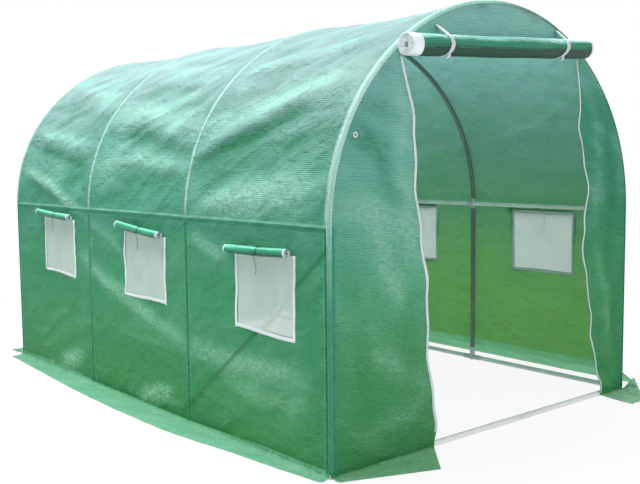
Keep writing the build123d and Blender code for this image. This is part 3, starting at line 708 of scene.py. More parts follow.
def sheet_material(name, settings, inside=False, end=False):
    """Woven sheet: colour by height with a painted sheen towards the top, folds with painted highlight and
    shade, ribs of the weave, packing creases and the frame behind it in painted light and shade.
    """
    n = Nodes(name)
    vector, x, y, z = n.place()
    flat, run, across = n.weave()
    cloud = n.noise(vector, 1.7, 3.0)
    streak = n.noise(n.stretch(vector, (1.5, 2.2, 9.0), (0.5, 0.3, 0.0)), 2.6, 4.0, 0.6, 0.4)
    wrinkle = n.noise(n.stretch(vector, (1.0, 1.6, 3.0), (0.6, 0.2, 0.0)), 7.0, 2.0, 0.5, 0.6)
    slanted = n.stretch(flat, (1.0, 1.0, 1.0), (0.0, 0.0, DRAWN_SLANT))
    drawn = n.noise(n.stretch(slanted, (7.5, 1.7, 1.0)), 1.0, 2.5, 0.5, 0.5)
    facets = {"Vector": n.stretch(slanted, (7.5, 3.2, 1.0)), "Scale": 1.6}
    facets = Value(n, n.add("ShaderNodeTexVoronoi", facets)["Distance"])
    vein = n.noise(n.stretch(vector, (1.0, 1.3, 2.0), (0.9, 0.4, 0.3)), 7.0, 3.0, 0.55, 1.2)
    vein = (1.0 - abs(vein - 0.5) * 26.0).clamp() * ((n.noise(vector, 3.1, 2.0) - 0.44) * 5.0).clamp()
    height = z / FULL_HEIGHT + (cloud - 0.5) * 0.10
    high = ((z - EAVE) * 2.5).clamp()
    if inside:
        base = n.ramp(height, INSIDE_STOPS)
        base = n.mix(((streak - 0.5) * 0.7).clamp(), base, (0.36, 0.56, 0.44))
        base = n.mix(((0.5 - streak) * 0.8).clamp(), base, (0.05, 0.20, 0.07))
    else:
        base = n.ramp(height, RIGHT_STOPS if end else WALL_STOPS)
        if end:
            # The left side of the front sheet takes the lighter colours; the right side keeps the darker
            # ones, painted shade
            base = n.mix((x * -6.0 + 3.0).clamp(), base, n.ramp(height, END_STOPS))
            hem = ((abs(y) - 1.527) * 90.0).clamp() * (z < 0.068)
        else:
            hem = ((abs(x) - 1.0195) * 90.0).clamp() * (z < 0.094)
        # The skirts are painted a paler blue-green, a painted highlight of the light on them
        base = n.mix(hem * (0.85 if end else 0.72), base, HEM_COLOUR)
        # Painted highlight on the folds that catch the light and painted shade on those that lie in the dark,
        # broken up into speckles on the pale ones
        marks = Value(n, n.add("ShaderNodeAttribute", attribute_name="pale")["Fac"])
        marks = marks * (1.5 if end else high * -0.3 + 1.3)
        speckle = (n.noise(n.stretch(flat, (75.0, 42.0, 1.0)), 1.0, 3.0, 0.65) * 5.0 - 2.1).clamp()
        marks = marks * (speckle * (high * -0.5 + 1.0) + (high * 0.5 + 0.45))
        # Tone from random streaks, the folds' marks, tension lines, crumples and creases: painted highlight
        # above 0, painted shade below
        tone = (streak - 0.5) * 0.55 + marks + (drawn - 0.5) * (high * 1.7 + 0.35)
        tone = tone + (facets - 0.42) * (high * 0.55 + 0.12) + vein * (0.05 if end else 0.20)
        base = n.mix((tone * 0.85).clamp(), base, settings.pale)
        base = n.mix((tone * -0.95).clamp(), base, settings.dark)
        # White flecks: scuffs at random places, and painted glints on the folds painted pale
        flecks = ((n.noise(n.stretch(flat, (150.0, 80.0, 1.0)), 2.6, 2.0, 0.7) - 0.55) * 14.0).clamp()
        scuff_and_glint = flecks * (((wrinkle - 0.5) * 1.2 + marks) * 1.5 - 0.10).clamp()
        base = n.mix(scuff_and_glint * 0.80, base, (0.85, 1.0, 0.93))
    # Ribs of the weave
    turn = 2 * math.pi / settings.rib
    warp, weft = n.math("SINE", run * turn), n.math("SINE", across * (turn / 1.15))
    ribs = warp * (0.95 if end else 0.50) + weft * 0.22
    base = n.mix((ribs * 0.16 + 0.06).clamp(), base, (0.20, 0.80, 0.52))
    base = n.mix((ribs * -0.24 + 0.06).clamp(), base, (0.01, 0.17, 0.06))
    # Straight creases where the sheet was folded for its box
    wander = (cloud - 0.5) * 0.06
    crease = n.math("MINIMUM", n.math("PINGPONG", run + wander, 0.21),
                    n.math("PINGPONG", across + wander, 0.17))
    crease = (1.0 - crease / 0.004).clamp() * (n.noise(vector, 5.0, 2.0) * 4.0 - 1.9).clamp()
    base = n.mix(crease * 0.18, base, (0.70, 1.0, 0.90))
    if end:
        # A painted line where the leg behind the front sheet shows through it, painted light and shade of the
        # tube
        leg = n.band(abs(x), HALF_WIDTH - 0.006, 0.004, 0.006) * (z < EAVE + 0.02)
        base = n.mix(leg * 0.75, base, (0.02, 0.36, 0.26))
    elif not inside:
        base = frame_marks(n, base, hem, x, y, z)
    normal = n.bump(n.noise(flat, 260.0, 2.0), 0.0003, n.bump(ribs, 0.0009))
    folds = vein * (0.06 if end or inside else 0.20) + crease * 0.12 + wrinkle + drawn * 1.6 + facets * 0.7
    normal = n.bump(folds, 0.016, normal)
    # Light from behind
    lit = n.ramp(height, GLOW_STOPS)
    if not end:
        foot = (z < RIGHT_HEM + 0.032) * (x > 0.9)
        lit = n.mix(foot * 0.75, lit, (0.62, 0.98, 0.88))
    lit = n.mix((streak * 0.9 - 0.25).clamp(), lit, (0.42, 0.74, 0.44), "MULTIPLY")
    return n.surface(base, streak * 0.22 + 0.32, normal, settings.glow, {"Color": lit, "Normal": normal},
                     **{"Specular IOR Level": 0.20})


def seam_material():
    """Sewn band round an end hoop: hatched, and painted pale over the shoulders as a sheen; darker low down,
    and painted shade on the right side, which faces away from the light.
    """
    n = Nodes("seam_band")
    vector, x, _, z = n.place()
    across, run = n.weave()[1:]
    hatch = n.math("SINE", (run + across * 0.8) * (2 * math.pi / 0.010))
    worn = n.noise(vector, 22.0, 4.0, 0.65)
    base = n.ramp(z / FULL_HEIGHT, SEAM_STOPS)
    base = n.mix((hatch * 0.45 + 0.18).clamp() * (z * 2.5 - 1.5).clamp(), base, (0.66, 0.92, 0.86))
    base = n.mix(((worn - 0.5) * 1.6).clamp(), base, linear("3A8C70"))
    # Painted shade on the right side of the band
    base = n.mix((x * 4.0 + 0.4).clamp(), base, (0.02, 0.19, 0.11))
    return n.surface(base, 0.55, n.bump(hatch + worn, 0.0006))


def tape_material(name, colour, mark, pitch=0.004, share=0.10):
    """Woven tape with a herringbone of fine marks, soiled here and there."""
    n = Nodes(name)
    vector = n.place()[0]
    across, run = n.weave()[1:]
    rib = n.math("SINE", (abs(across - 0.008) + run) * (2 * math.pi / pitch))
    soil = n.noise(vector, 14.0, 4.0)
    base = n.mix((rib * 0.25 + 0.2).clamp(), colour, mark)
    base = n.mix(((soil - 0.45) * 0.6).clamp(), base, mark)
    return n.surface(base, 0.62, n.bump(rib + soil * 2.0, 0.0004), share, **{"Sheen Weight": 0.2})


def roll_material(name, collar, far_end, shades, white, shown_from=0.0):
    """Rolled sheet: lit along its top, dark below, with white tape at the ends."""
    n = Nodes(name)
    vector = n.place()[0]
    run, across = n.weave()[1:]
    up = n.split(n.add("ShaderNodeNewGeometry")["Normal"])[2]
    wrinkle = n.noise(n.stretch(vector, (3.0, 3.0, 18.0)), 4.0, 4.0, 0.6, 0.5)
    high, middle, low = shades
    base = n.ramp(up * 0.42 + 0.45 + (wrinkle - 0.5) * 0.32,
                  ((0.30, low), (0.50, middle), (0.62, middle), (0.84, high)))
    ribs = n.math("SINE", across * (2 * math.pi / 0.0085))
    base = n.mix((ribs * 0.06 + 0.05).clamp(), base, linear("8FCDB0"))
    soil = ((n.noise(vector, 60.0, 3.0) - 0.40) * 0.9).clamp()
    # The white tape is greyed on the windings wound before shown_from: painted shade between the windings
    tape = n.mix((across < shown_from) * 0.35, n.mix(soil, white, linear("9FB3B5")), (0.40, 0.50, 0.48))
    base = n.mix(n.math("MAXIMUM", run < collar, run > far_end), base, tape)
    return n.surface(base, 0.36, n.bump(ribs * 0.12 + wrinkle, 0.004), **{"Specular IOR Level": 0.22})


def steel_material(name, colour, roughness, shade=(0.30, 0.32, 0.33)):
    """Powder-coated tube: a fine orange-peel, handling marks and dust."""
    n = Nodes(name)
    vector = n.place()[0]
    blotch = n.noise(vector, 5.0, 4.0, 0.6)
    marks = n.noise(n.stretch(vector, (40.0, 40.0, 3.0)), 6.0, 3.0, 0.7)
    base = n.mix(((blotch - 0.42) * 0.9).clamp(), colour, shade)
    base = n.mix((marks > 0.66) * 0.35, base, (0.75, 0.77, 0.78))
    normal = n.bump(marks * 0.6 + n.noise(vector, 900.0, 2.0) * 0.4, 0.00035)
    return n.surface(base, blotch * 0.25 + (roughness - 0.1), normal, Metallic=0.15)


def fitting_material(steel):
    """The fittings' finish, made once."""
    return bpy.data.materials.get("fitting_steel") or steel_material("fitting_steel", steel.fitting_colour,
                                                                     0.35)


def net_material(name, colour):
    """Knitted net strands, a little soiled."""
    n = Nodes(name)
    vector = n.place()[0]
    base = n.mix(((n.noise(vector, 8.0, 4.0) - 0.40) * 0.7).clamp(), colour, linear("9DB5AC"))
    return n.surface(base, 0.6, n.bump(n.noise(vector, 700.0, 1.0), 0.0003), 0.35)


# Geometry Nodes trees

class ShapeNodes(Nodes):
    """The same short ways for a Geometry Nodes tree with named inputs."""

    def __init__(self, name, *sockets):
        self.tree = bpy.data.node_groups.new(name, "GeometryNodeTree")
        for way in ("OUTPUT", "INPUT"):
            self.tree.interface.new_socket(name="Geometry", in_out=way, socket_type="NodeSocketGeometry")
        for socket, kind in (*sockets, ("Material", "Material")):
            self.tree.interface.new_socket(name=socket, in_out="INPUT", socket_type="NodeSocket" + kind)
        self.given = self.tree.nodes.new("NodeGroupInput").outputs

    def point(self, **parts):
        return self.add("ShaderNodeCombineXYZ", parts)[0]

    def attribute(self, name):
        return self.add("GeometryNodeInputNamedAttribute", {"Name": name}, data_type="FLOAT_VECTOR")[0]

    def scatter(self, points, piece, turn=None):
        """A piece on every point."""
        return self.add("GeometryNodeInstanceOnPoints",
                        {"Points": points, "Instance": piece, "Rotation": turn})[0]

    def join(self, *parts):
        joined = self.add("GeometryNodeJoinGeometry")[0]
        for part in parts:
            self.put(joined.node.inputs[0], part)
        return joined

    def close(self, geometry):
        """Makes the pieces real, gives them the tree's material and ends the tree."""
        real = self.add("GeometryNodeRealizeInstances", {"Geometry": geometry})[0]
        done = self.add("GeometryNodeSetMaterial", {"Geometry": real, "Material": self.given["Material"]})[0]
        self.put(self.tree.nodes.new("NodeGroupOutput").inputs[0], done)
        return self.tree


def net_tree():
    """Two crossing rows of flat strands, laid on a mapped surface."""
    n = ShapeNodes("Window net", ("Strands across", "Int"), ("Strands up", "Int"), ("Share across", "Float"),
                   ("Share up", "Float"))
    rows = []
    for way, other, word in (("X", "Y", "across"), ("Y", "X", "up")):
        count = n.given[f"Strands {word}"]
        gap = n.math("DIVIDE", 1.0, count)
        strand = n.add("GeometryNodeMeshGrid", {f"Size {way}": gap * n.given[f"Share {word}"],
                                                f"Size {other}": 1.0, f"Vertices {way}": 2,
                                                f"Vertices {other}": 15})[0]
        line = n.add("GeometryNodeMeshLine", {"Count": count, "Offset": n.point(**{way: gap}),
                                              "Start Location": n.point(**{way: gap * 0.5, other: 0.5})})[0]
        rows.append(n.add("GeometryNodeRealizeInstances", {"Geometry": n.scatter(line, strand)})[0])
    place = n.add("GeometryNodeInputPosition")[0]
    laid = n.add("GeometryNodeSampleUVSurface", {"Mesh": n.given["Geometry"], "Value": place,
                                                 "UV Map": n.attribute("chart"), "Sample UV": place},
                 data_type="FLOAT_VECTOR")[0]
    return n.close(n.add("GeometryNodeSetPosition", {"Geometry": n.join(*rows), "Position": laid})[0])


def stitch_tree():
    """Stitches laid along a line of points, each turned a little to the line and lying on the surface."""
    n = ShapeNodes("Stitches",
                   *((name, "Float") for name in ("Spacing", "Length", "Width", "Height", "Slant")))
    given = n.given
    curve = n.add("GeometryNodeMeshToCurve", {"Mesh": given["Geometry"]})[0]
    spaced = n.add("GeometryNodeResampleCurve", {"Curve": curve, "Length": given["Spacing"]},
                   mode="LENGTH")[0]
    size = n.point(X=given["Width"], Y=given["Length"], Z=given["Height"])
    stitch = n.add("GeometryNodeMeshCube", {"Size": size})[0]
    tangent = n.add("GeometryNodeInputTangent")[0]
    along = n.add("FunctionNodeAlignRotationToVector", {"Vector": tangent}, axis="Y")[0]
    flat = n.add("FunctionNodeAlignRotationToVector", {"Rotation": along, "Vector": n.attribute("facing")},
                 axis="Z", pivot_axis="Y")[0]
    turned = n.add("FunctionNodeRotateRotation", {"Rotation": flat, "Rotate By": n.point(Z=given["Slant"])},
                   rotation_space="LOCAL")[0]
    return n.close(n.scatter(spaced, stitch, turned))


def bolt_tree():
    """A washer and a six-sided head on each point, facing as the point says."""
    n = ShapeNodes("Bolts", ("Radius", "Float"))
    radius = n.given["Radius"]
    wide, tall = (n.math("MULTIPLY", radius, share) for share in (1.5, 0.75))
    washer = n.add("GeometryNodeMeshCylinder", {"Vertices": 20, "Radius": wide, "Depth": 0.0014})[0]
    head = n.add("GeometryNodeMeshCylinder", {"Vertices": 6, "Radius": radius, "Depth": tall})[0]
    raised = n.add("GeometryNodeTransform", {"Geometry": head, "Translation": n.point(Z=tall * 0.5)})[0]
    turn = n.add("FunctionNodeAlignRotationToVector", {"Vector": n.attribute("facing")}, axis="Z")[0]
    return n.close(n.scatter(n.given["Geometry"], n.join(washer, raised), turn))


def through_tree(item, tree, name, values):
    """Runs an object through a tree and returns the result as a plain mesh object."""
    maker = item.modifiers.new("Make", "NODES")
    maker.node_group = tree
    for socket in tree.interface.items_tree:
        if socket.item_type == "SOCKET" and socket.in_out == "INPUT" and socket.name in values:
            maker[socket.identifier] = values[socket.name]
    graph = bpy.context.evaluated_depsgraph_get()
    mesh = bpy.data.meshes.new_from_object(item.evaluated_get(graph))
    item.modifiers.remove(maker)
    bpy.data.objects.remove(item)
    if not mesh.polygons:
        raise RuntimeError(f"{name} came out of its tree empty")
    mesh.name = name
    return in_scene(name, mesh)


def path_object(name, lines, facings):
    """Lines of one or more points, with the way that each point faces, as a mesh of edges."""
    points, edges, ways = [], [], []
    for line, facing in zip(lines, facings):
        first = len(points)
        points += [tuple(p) for p in line]
        ways += [tuple(f) for f in np.broadcast_to(facing, (len(line), 3))]
        edges += [(first + i, first + i + 1) for i in range(len(line) - 1)]
    mesh = bpy.data.meshes.new(name)
    mesh.from_pydata(points, edges, [])
    attribute = mesh.attributes.new("facing", "FLOAT_VECTOR", "POINT")
    attribute.data.foreach_set("vector", np.array(ways, np.float32).ravel())
    return in_scene(name, mesh)


def stitches(name, lines, facings, material, spacing, length, width, slant):
    """Rows of stitches along lines, as one plain mesh."""
    tree = bpy.data.node_groups.get("Stitches") or stitch_tree()
    return through_tree(path_object(name + "_path", lines, facings), tree, name,
                        {"Spacing": spacing, "Length": length, "Width": width,
                         "Height": STITCH_HEIGHT, "Slant": slant, "Material": material})


# Places on the cover

def cover_point(s, y, settings, lift=0.0):
    """Point on the cover's outer face, s metres round it and y along it, raised by lift."""
    s, y = np.broadcast_arrays(np.asarray(s, float), np.asarray(y, float))
    x, z, nx, nz = section(s)
    reach = WRAP + cover_relief(s, y, settings)[0] + lift
    return np.stack([x + nx * reach, y, z + nz * reach], -1)


def wall_point(side, y, z, settings, lift=0.0):
    """Point on a side wall at a height."""
    z = np.asarray(z, float)
    return cover_point(z if side < 0 else SECTION_RUN - z, y, settings, lift)


# Folds of the front sheet in the same way, with points as (place across, height)
FRONT_FOLDS = (
    (((-0.96, 1.04), (-0.78, 1.01), (-0.60, 0.93)), 0.070, 0.005, 0.45),
    (((-0.92, 0.66), (-0.80, 0.50)), 0.050, 0.004, 0.32),
    (((-0.88, 0.46), (-0.66, 0.40), (-0.48, 0.30)), 0.050, 0.004, 0.24),
    (((-0.84, 0.12), (-0.60, 0.18), (-0.46, 0.26)), 0.045, 0.005, 0.16),
    (((-0.93, 0.80), (-0.84, 0.50), (-0.82, 0.20)), 0.050, -0.006, -0.35),
    (((-0.66, 1.58), (-0.62, 1.36), (-0.66, 1.12)), 0.050, 0.006, 0.30),
    (((-0.60, 1.18), (-0.56, 0.95), (-0.55, 0.72)), 0.075, 0.003, 0.40),
    (((-0.78, 0.98), (-0.72, 0.80), (-0.60, 0.62)), 0.055, 0.004, 0.38),
    (((-0.85, 1.36), (-0.72, 1.20), (-0.62, 1.00)), 0.045, -0.007, -0.25),
    (((-0.55, 0.85), (-0.60, 0.55), (-0.56, 0.30)), 0.050, -0.007, -0.20),
    (((0.70, 1.48), (0.74, 1.15), (0.70, 0.85)), 0.045, 0.008, 0.18),
    (((0.82, 1.40), (0.88, 1.05), (0.84, 0.62)), 0.040, -0.008, -0.35),
    (((0.74, 0.80), (0.84, 0.45), (0.93, 0.12)), 0.040, 0.008, 0.20),
    (((0.92, 0.60), (0.90, 0.30), (0.96, 0.10)), 0.035, -0.006, -0.30),
    (((-0.45, 1.79), (0.0, 1.83), (0.35, 1.81)), 0.030, 0.004, 0.10),
)


def end_relief(x, z, settings, front):
    """How far an end sheet stands out from its flat plane, and how pale it is painted: painted highlight and
    shade on the front sheet's folds, paler and darker at random on the rear.
    """
    inside = -beyond_hoop(x, z)
    free = ease(inside / 0.06) * ease((z - 0.02) / 0.10)
    if not front:
        hollow = -0.016 * np.sin(np.pi * np.clip(z / 1.85, 0, 1)) * np.cos(np.pi * np.clip(x, -1, 1) / 2)
        out = hollow + ripples(x, z, settings.seed + 5, 30, 0.09, 0.45, 0.022)
        return out * free, 0.25 * ripples(x, z, settings.seed + 6, 12, 0.2, 0.6, 1.0)
    out = ripples(x, z, settings.seed + 3, 26, 0.07, 0.28, 0.012)
    pale = np.zeros(np.shape(x))
    for line, width, height, tone in FRONT_FOLDS:
        weight = line_weight(x, z, line, width)
        out += height * weight
        pale += tone * weight
    gap_left = np.abs(smooth(LEFT_JAMB, z) - x)
    gap_right = np.abs(x - smooth(RIGHT_JAMB, z))
    low = ease((1.60 - z) / 0.25)
    wave_left = 0.011 * np.sin(2 * math.pi * z / 0.66 + 0.8) + 0.005 * np.sin(2 * math.pi * z / 0.23)
    wave_right = 0.012 * np.sin(2 * math.pi * z / 0.58 + 2.2) + 0.005 * np.sin(2 * math.pi * z / 0.21 + 1.0)
    out += low * (wave_left * np.exp(-gap_left / 0.11) + wave_right * np.exp(-gap_right / 0.10))
    return out * free * settings.folds, pale


def end_point(x, z, settings, front=True, lift=0.0):
    """Point on an end sheet's outer face, raised by lift. Beyond the hoop it turns back round the tube."""
    x, z = np.broadcast_arrays(np.asarray(x, float), np.asarray(z, float))
    out, _ = end_relief(x, z, settings, front)
    past = np.clip(beyond_hoop(x, z), 0, EDGE_OUT)
    depth = HALF_LENGTH + np.sqrt(WRAP**2 - past**2) + out + lift
    return np.stack([x, -depth if front else depth, z], -1)


def merge_grids(parts):
    """Points, faces, map and paleness of several grids as one."""
    first, points, faces, maps, pales = 0, [], [], [], []
    for grid, uv, pale, quads in parts:
        points.append(grid.reshape(-1, 3))
        maps.append(uv.reshape(-1, 2))
        pales.append(np.broadcast_to(pale, grid.shape[:-1]).ravel())
        faces.append(quads + first)
        first += grid.shape[0] * grid.shape[1]
    return np.concatenate(points), np.concatenate(faces), np.concatenate(maps), np.concatenate(pales)


def cover_columns():
    """Places along the tunnel for the cover's columns, and how far each turns round an end hoop."""
    marks = {-HALF_LENGTH, -0.5, 0.5, HALF_LENGTH}
    for middle in LEFT_WINDOW_YS + RIGHT_WINDOW_YS:
        marks |= {round(middle - WINDOW_WIDTH / 2, 4), round(middle + WINDOW_WIDTH / 2, 4)}
    marks = sorted(marks)
    ys = []
    for near, far in zip(marks, marks[1:]):
        ys += list(np.linspace(near, far, max(1, round((far - near) / COLUMN_STEP)), endpoint=False))
    ys.append(HALF_LENGTH)
    turn = np.linspace(0, EDGE_TURN, 4)[1:]
    y = np.concatenate([np.full(3, -HALF_LENGTH), ys, np.full(3, HALF_LENGTH)])
    angle = np.concatenate([-turn[::-1], np.zeros(len(ys)), turn])
    return y, angle


def left_skirt(edge, y, fold, settings):
    """Skirt that bends out at the left wall's fold and lies in low waves, as one part of the cover."""
    rows = 19
    t = (np.linspace(1, 0, rows) ** 1.9)[:, None]
    out = t * smooth(LEFT_SKIRT, y)
    wave = ripples(out, y, settings.seed + 1, 14, 0.10, 0.45, 0.020)
    lie = LIE + (fold - LIE) * np.exp(-out / 0.012) + np.maximum(wave, -0.002) * (4 * t * (1 - t))
    # The skirt's tone is raised towards the painted highlight colour, with random waves
    pale = 0.24 + 0.30 * ripples(out, y, 77, 20, 0.05, 0.3, 1.0)
    return (spread(edge[:, 0] - out, edge[:, 1], np.maximum(lie, LIE)), spread(fold - out, edge[:, 1]), pale,
            grid_faces(rows, len(y)))


def right_skirt(edge, y, run, settings):
    """Skirt that slopes down from the right wall's hem to the ground, as one part of the cover."""
    t = np.linspace(0, 1, SKIRT_ROWS)[:, None]
    wave = ripples(t * RIGHT_SKIRT, y, settings.seed + 2, 14, 0.10, 0.45, 0.030)
    drop = LIE + (RIGHT_HEM - LIE) * (1 - t) + wave * np.sin(np.pi * t)
    # The skirt's tone is raised towards the painted highlight colour
    return (spread(edge[:, 0] + RIGHT_SKIRT * t, edge[:, 1], np.maximum(drop, LIE)),
            spread(run + 0.19 * t, edge[:, 1]), 0.45, grid_faces(SKIRT_ROWS, len(y)))


def thin_sheet(name, parts, settings, finishes, replaced, gap=0.0002, flip=False):
    """One thin sheet from grids that share their edges."""
    points, faces, maps, pales = merge_grids(parts)
    sheet = make_mesh(name, points, faces[:, ::-1] if flip else faces, maps, pales)
    tidy_mesh(sheet, gap)
    thicken(sheet, settings.sheet, inside_slot=1)
    return dress(sheet, finishes, replaced)


class TUNNEL_OT_cover(bpy.types.Operator):
    """Make the one long sheet over the hoops, with its side skirts and window openings."""
    bl_idname = "tunnel.cover"
    bl_label = "Long cover"

    def execute(self, context):
        settings = context.scene.tunnel_cover
        y, angle = cover_columns()
        fold, level = smooth(LEFT_FOLD, y), np.ones(len(y))
        left = (fold, smooth(LEFT_SILL, y), smooth(LEFT_TOP, y), EAVE * level)
        right = (EAVE * level, smooth(RIGHT_TOP, y), smooth(RIGHT_SILL, y), RIGHT_HEM * level)
        # Rows up the left wall, closer at its foot, then over the roof and down the right wall
        rows = []
        for low, high, count, power in zip(left, left[1:], (28, 17, 5), (1.5, 1, 1)):
            rows += [low + (high - low) * t for t in np.linspace(0, 1, count, endpoint=False) ** power]
        rows += [level * s for s in np.linspace(EAVE, SECTION_RUN - EAVE, 160)[:-1]]
        start = len(rows)
        for high, low, count in zip(right, right[1:], (3, 17, 27)):
            rows += [SECTION_RUN - (high + (low - high) * t)
                     for t in np.linspace(0, 1, count, endpoint=False)]
        rows.append(SECTION_RUN - RIGHT_HEM * level)
        s = np.array(rows)
        x, z, nx, nz = section(s)
        out, pale = cover_relief(s, np.broadcast_to(y, s.shape), settings)
        reach = WRAP * np.cos(angle) + out
        place_y = np.broadcast_to(y + WRAP * np.sin(angle), s.shape)
        wall = np.stack([x + nx * reach, place_y, z + nz * reach], -1)
        # Windows are left open
        skip = np.zeros((s.shape[0] - 1, s.shape[1] - 1), bool)
        middle_y = (y[:-1] + y[1:]) / 2
        for low, high, middles in ((28, 45, LEFT_WINDOW_YS), (start + 3, start + 20, RIGHT_WINDOW_YS)):
            for middle in middles:
                skip[low:high, np.abs(middle_y - middle) < WINDOW_WIDTH / 2] = True
        parts = (left_skirt(wall[0], y, fold, settings),
                 (wall, np.stack([s, place_y], -1), pale, grid_faces(*s.shape, skip)),
                 right_skirt(wall[-1], y, s[-1], settings))
        finishes = (sheet_material("cover_outside", settings),
                    sheet_material("cover_inside", settings, inside=True))
        nodes = ("cover_roof", "cover_wall_left", "cover_wall_right", "skirt_left", "skirt_right")
        sheet = thin_sheet("cover_long_sheet", parts, settings, finishes, nodes, gap=0.00005, flip=True)
        width = SECTION_RUN + 0.16 + 0.19
        windows = 6 * WINDOW_WIDTH * 0.32
        2 * END_Y * width - windows - 0.3
        return {"FINISHED"}


def panel_grid(side, jamb, columns, rows=118):
    """Grid of x and z from the tunnel's outline to a jamb, from the ground up to the doorway's head."""
    a = np.linspace(0, 1, columns)[None, :]
    b = np.linspace(0, 1, rows)[:, None]
    z = b * HEAD_Z * np.ones_like(a)
    for _ in range(30):
        edge = side * outline_x(z, EDGE_OUT)
        x = edge + (smooth(jamb, z) - edge) * a
        z = b * head_height(x)
    return x, np.maximum(z, 0.010)


def open_eyelet(points, x, z, skip):
    """Opens a round hole for the eyelet in a panel and returns its centre."""
    row, column = np.unravel_index(np.argmin((x - EYELET_X) ** 2 + (z - EYELET_Z) ** 2), x.shape)
    centre = points[row, column].copy()
    skip[row - 1:row + 1, column - 1:column + 1] = True
    for i in (-1, 0, 1):
        for j in (-1, 0, 1):
            if i or j:
                flat = (points[row + i, column + j] - centre) * (1, 0, 1)
                points[row + i, column + j] = centre + flat / np.linalg.norm(flat) * EYELET_HOLE
    return centre


def front_skirt(side, foot, settings):
    """Skirt from a front panel's foot out over the ground; the right one's corner is turned up."""
    near, far = ((-1.012, -1.556), (-0.610, -1.712)) if side < 0 else ((1.012, -1.560), (0.800, -1.706))
    a = np.linspace(0, 1, len(foot))[None, :]
    t = np.linspace(0, 1, SKIRT_ROWS)[:, None]
    turned_up = side > 0
    edge_x = near[0] + (far[0] - near[0]) * a + turned_up * 0.045 * (1 - a) ** 2
    edge_y = near[1] + (far[1] - near[1]) * a - turned_up * 0.060 * np.sin(math.pi * (1 - a)) ** 2
    x = foot[:, 0] + (edge_x - foot[:, 0]) * t
    y = foot[:, 1] + (edge_y - foot[:, 1]) * t
    wave = ripples(x, y, settings.seed + 8, 16, 0.06, 0.24, 0.040) * 4 * t * (1 - t)
    z = LIE + 0.008 * (1 - t) ** 2 + np.maximum(wave, 0)
    z = z + turned_up * 0.062 * ease((0.50 - a) / 0.5) * ease(t / 0.9)
    points = np.stack([x, y, np.maximum(z, LIE)], -1)
    points[0] = foot
    quads = grid_faces(SKIRT_ROWS, len(foot))
    # Skirts' tone is raised towards the painted highlight colour, the turned-up corner's more
    return (points, np.stack([y - foot[:, 1], x], -1), 0.30 + 0.3 * turned_up,
            quads if turned_up else quads[:, ::-1])


class TUNNEL_OT_front(bpy.types.Operator):
    """Make the front sheet beside and over the doorway, with its skirts and the eyelet's hole."""
    bl_idname = "tunnel.front"
    bl_label = "Front sheet"

    def execute(self, context):
        settings = context.scene.tunnel_cover
        parts, tops = [], []
        for side, jamb, columns in ((-1, LEFT_JAMB, 42), (1, RIGHT_JAMB, 34)):
            x, z = panel_grid(side, jamb, columns)
            points = end_point(x, z, settings)
            skip = np.zeros((x.shape[0] - 1, x.shape[1] - 1), bool)
            if side < 0:
                context.scene["eyelet"] = open_eyelet(points, x, z, skip).tolist()
            quads = grid_faces(*x.shape, skip)
            parts += [(points, np.stack([z, x], -1), end_relief(x, z, settings, True)[1],
                       quads if side < 0 else quads[:, ::-1]), front_skirt(side, points[0], settings)]
            tops.append(x[-1])
        # Half moon over the doorway
        x = np.concatenate([tops[0], np.linspace(tops[0][-1], tops[1][-1], 66)[1:-1], tops[1][::-1]])
        low, high = head_height(x), outline_z(x, EDGE_OUT)
        z = low + (np.maximum(high, low) - low) * np.linspace(0, 1, 17)[:, None]
        x = np.broadcast_to(x, z.shape)
        # The half moon's tone is raised a little towards the painted highlight colour
        pale = end_relief(x, z, settings, True)[1] + 0.10
        parts.append((end_point(x, z, settings), np.stack([z, x], -1), pale, grid_faces(*z.shape)))
        finishes = (sheet_material("front_outside", settings, end=True),
                    sheet_material("front_inside", settings, inside=True, end=True))
        nodes = ("front_panel_over_door", "front_panel_left", "front_panel_right", "skirt_front_left",
                 "skirt_front_right")
        sheet = thin_sheet("front_sheet", parts, settings, finishes, nodes)
        return {"FINISHED"}


class TUNNEL_OT_rear(bpy.types.Operator):
    """Make the closed rear sheet and its skirt."""
    bl_idname = "tunnel.rear"
    bl_label = "Rear sheet"

    def execute(self, context):
        settings = context.scene.tunnel_cover
        rows, columns = 10, 101
        s = np.concatenate([np.linspace(0.010, EAVE, 58)[:-1],
                            np.linspace(EAVE, SECTION_RUN / 2 - 0.012, 70)])
        _, z, _, nz = section(s)
        z = (z + nz * EDGE_OUT)[:, None]
        x = outline_x(z, EDGE_OUT) * np.linspace(-1, 1, columns)[None, :]
        z = np.broadcast_to(z, x.shape)
        points = end_point(x, z, settings, front=False)
        body = (points, np.stack([z, x], -1), end_relief(x, z, settings, False)[1],
                grid_faces(*x.shape)[:, ::-1])
        t = np.linspace(0, 1, rows)[:, None]
        foot = points[0]
        x = foot[:, 0] * (1 + 0.002 * t)
        y = foot[:, 1] + 0.196 * t
        wave = ripples(x, y, settings.seed + 9, 16, 0.09, 0.34, 0.036) * 4 * t * (1 - t)
        skirt = np.stack([x, y, LIE + 0.0074 * (1 - t) ** 2 + np.maximum(wave, 0)], -1)
        skirt[0] = foot
        # The rear skirt's tone is raised a little towards the painted highlight colour
        parts = (body, (skirt, np.stack([foot[:, 1] - y, x], -1), 0.25, grid_faces(rows, columns)))
        finishes = (bpy.data.materials["front_outside"], bpy.data.materials["front_inside"])
        sheet = thin_sheet("rear_sheet", parts, settings, finishes, ("rear_panel", "skirt_rear"))
        return {"FINISHED"}


def round_hoop(s, angle, sign, gap):
    """Points along an end hoop, at an angle from its outside towards its end, gap over the sheet."""
    x, z, nx, nz = section(s)
    reach = (WRAP + gap) * math.cos(angle)
    return spread(x + nx * reach, sign * (HALF_LENGTH + (WRAP + gap) * math.sin(angle)), z + nz * reach)


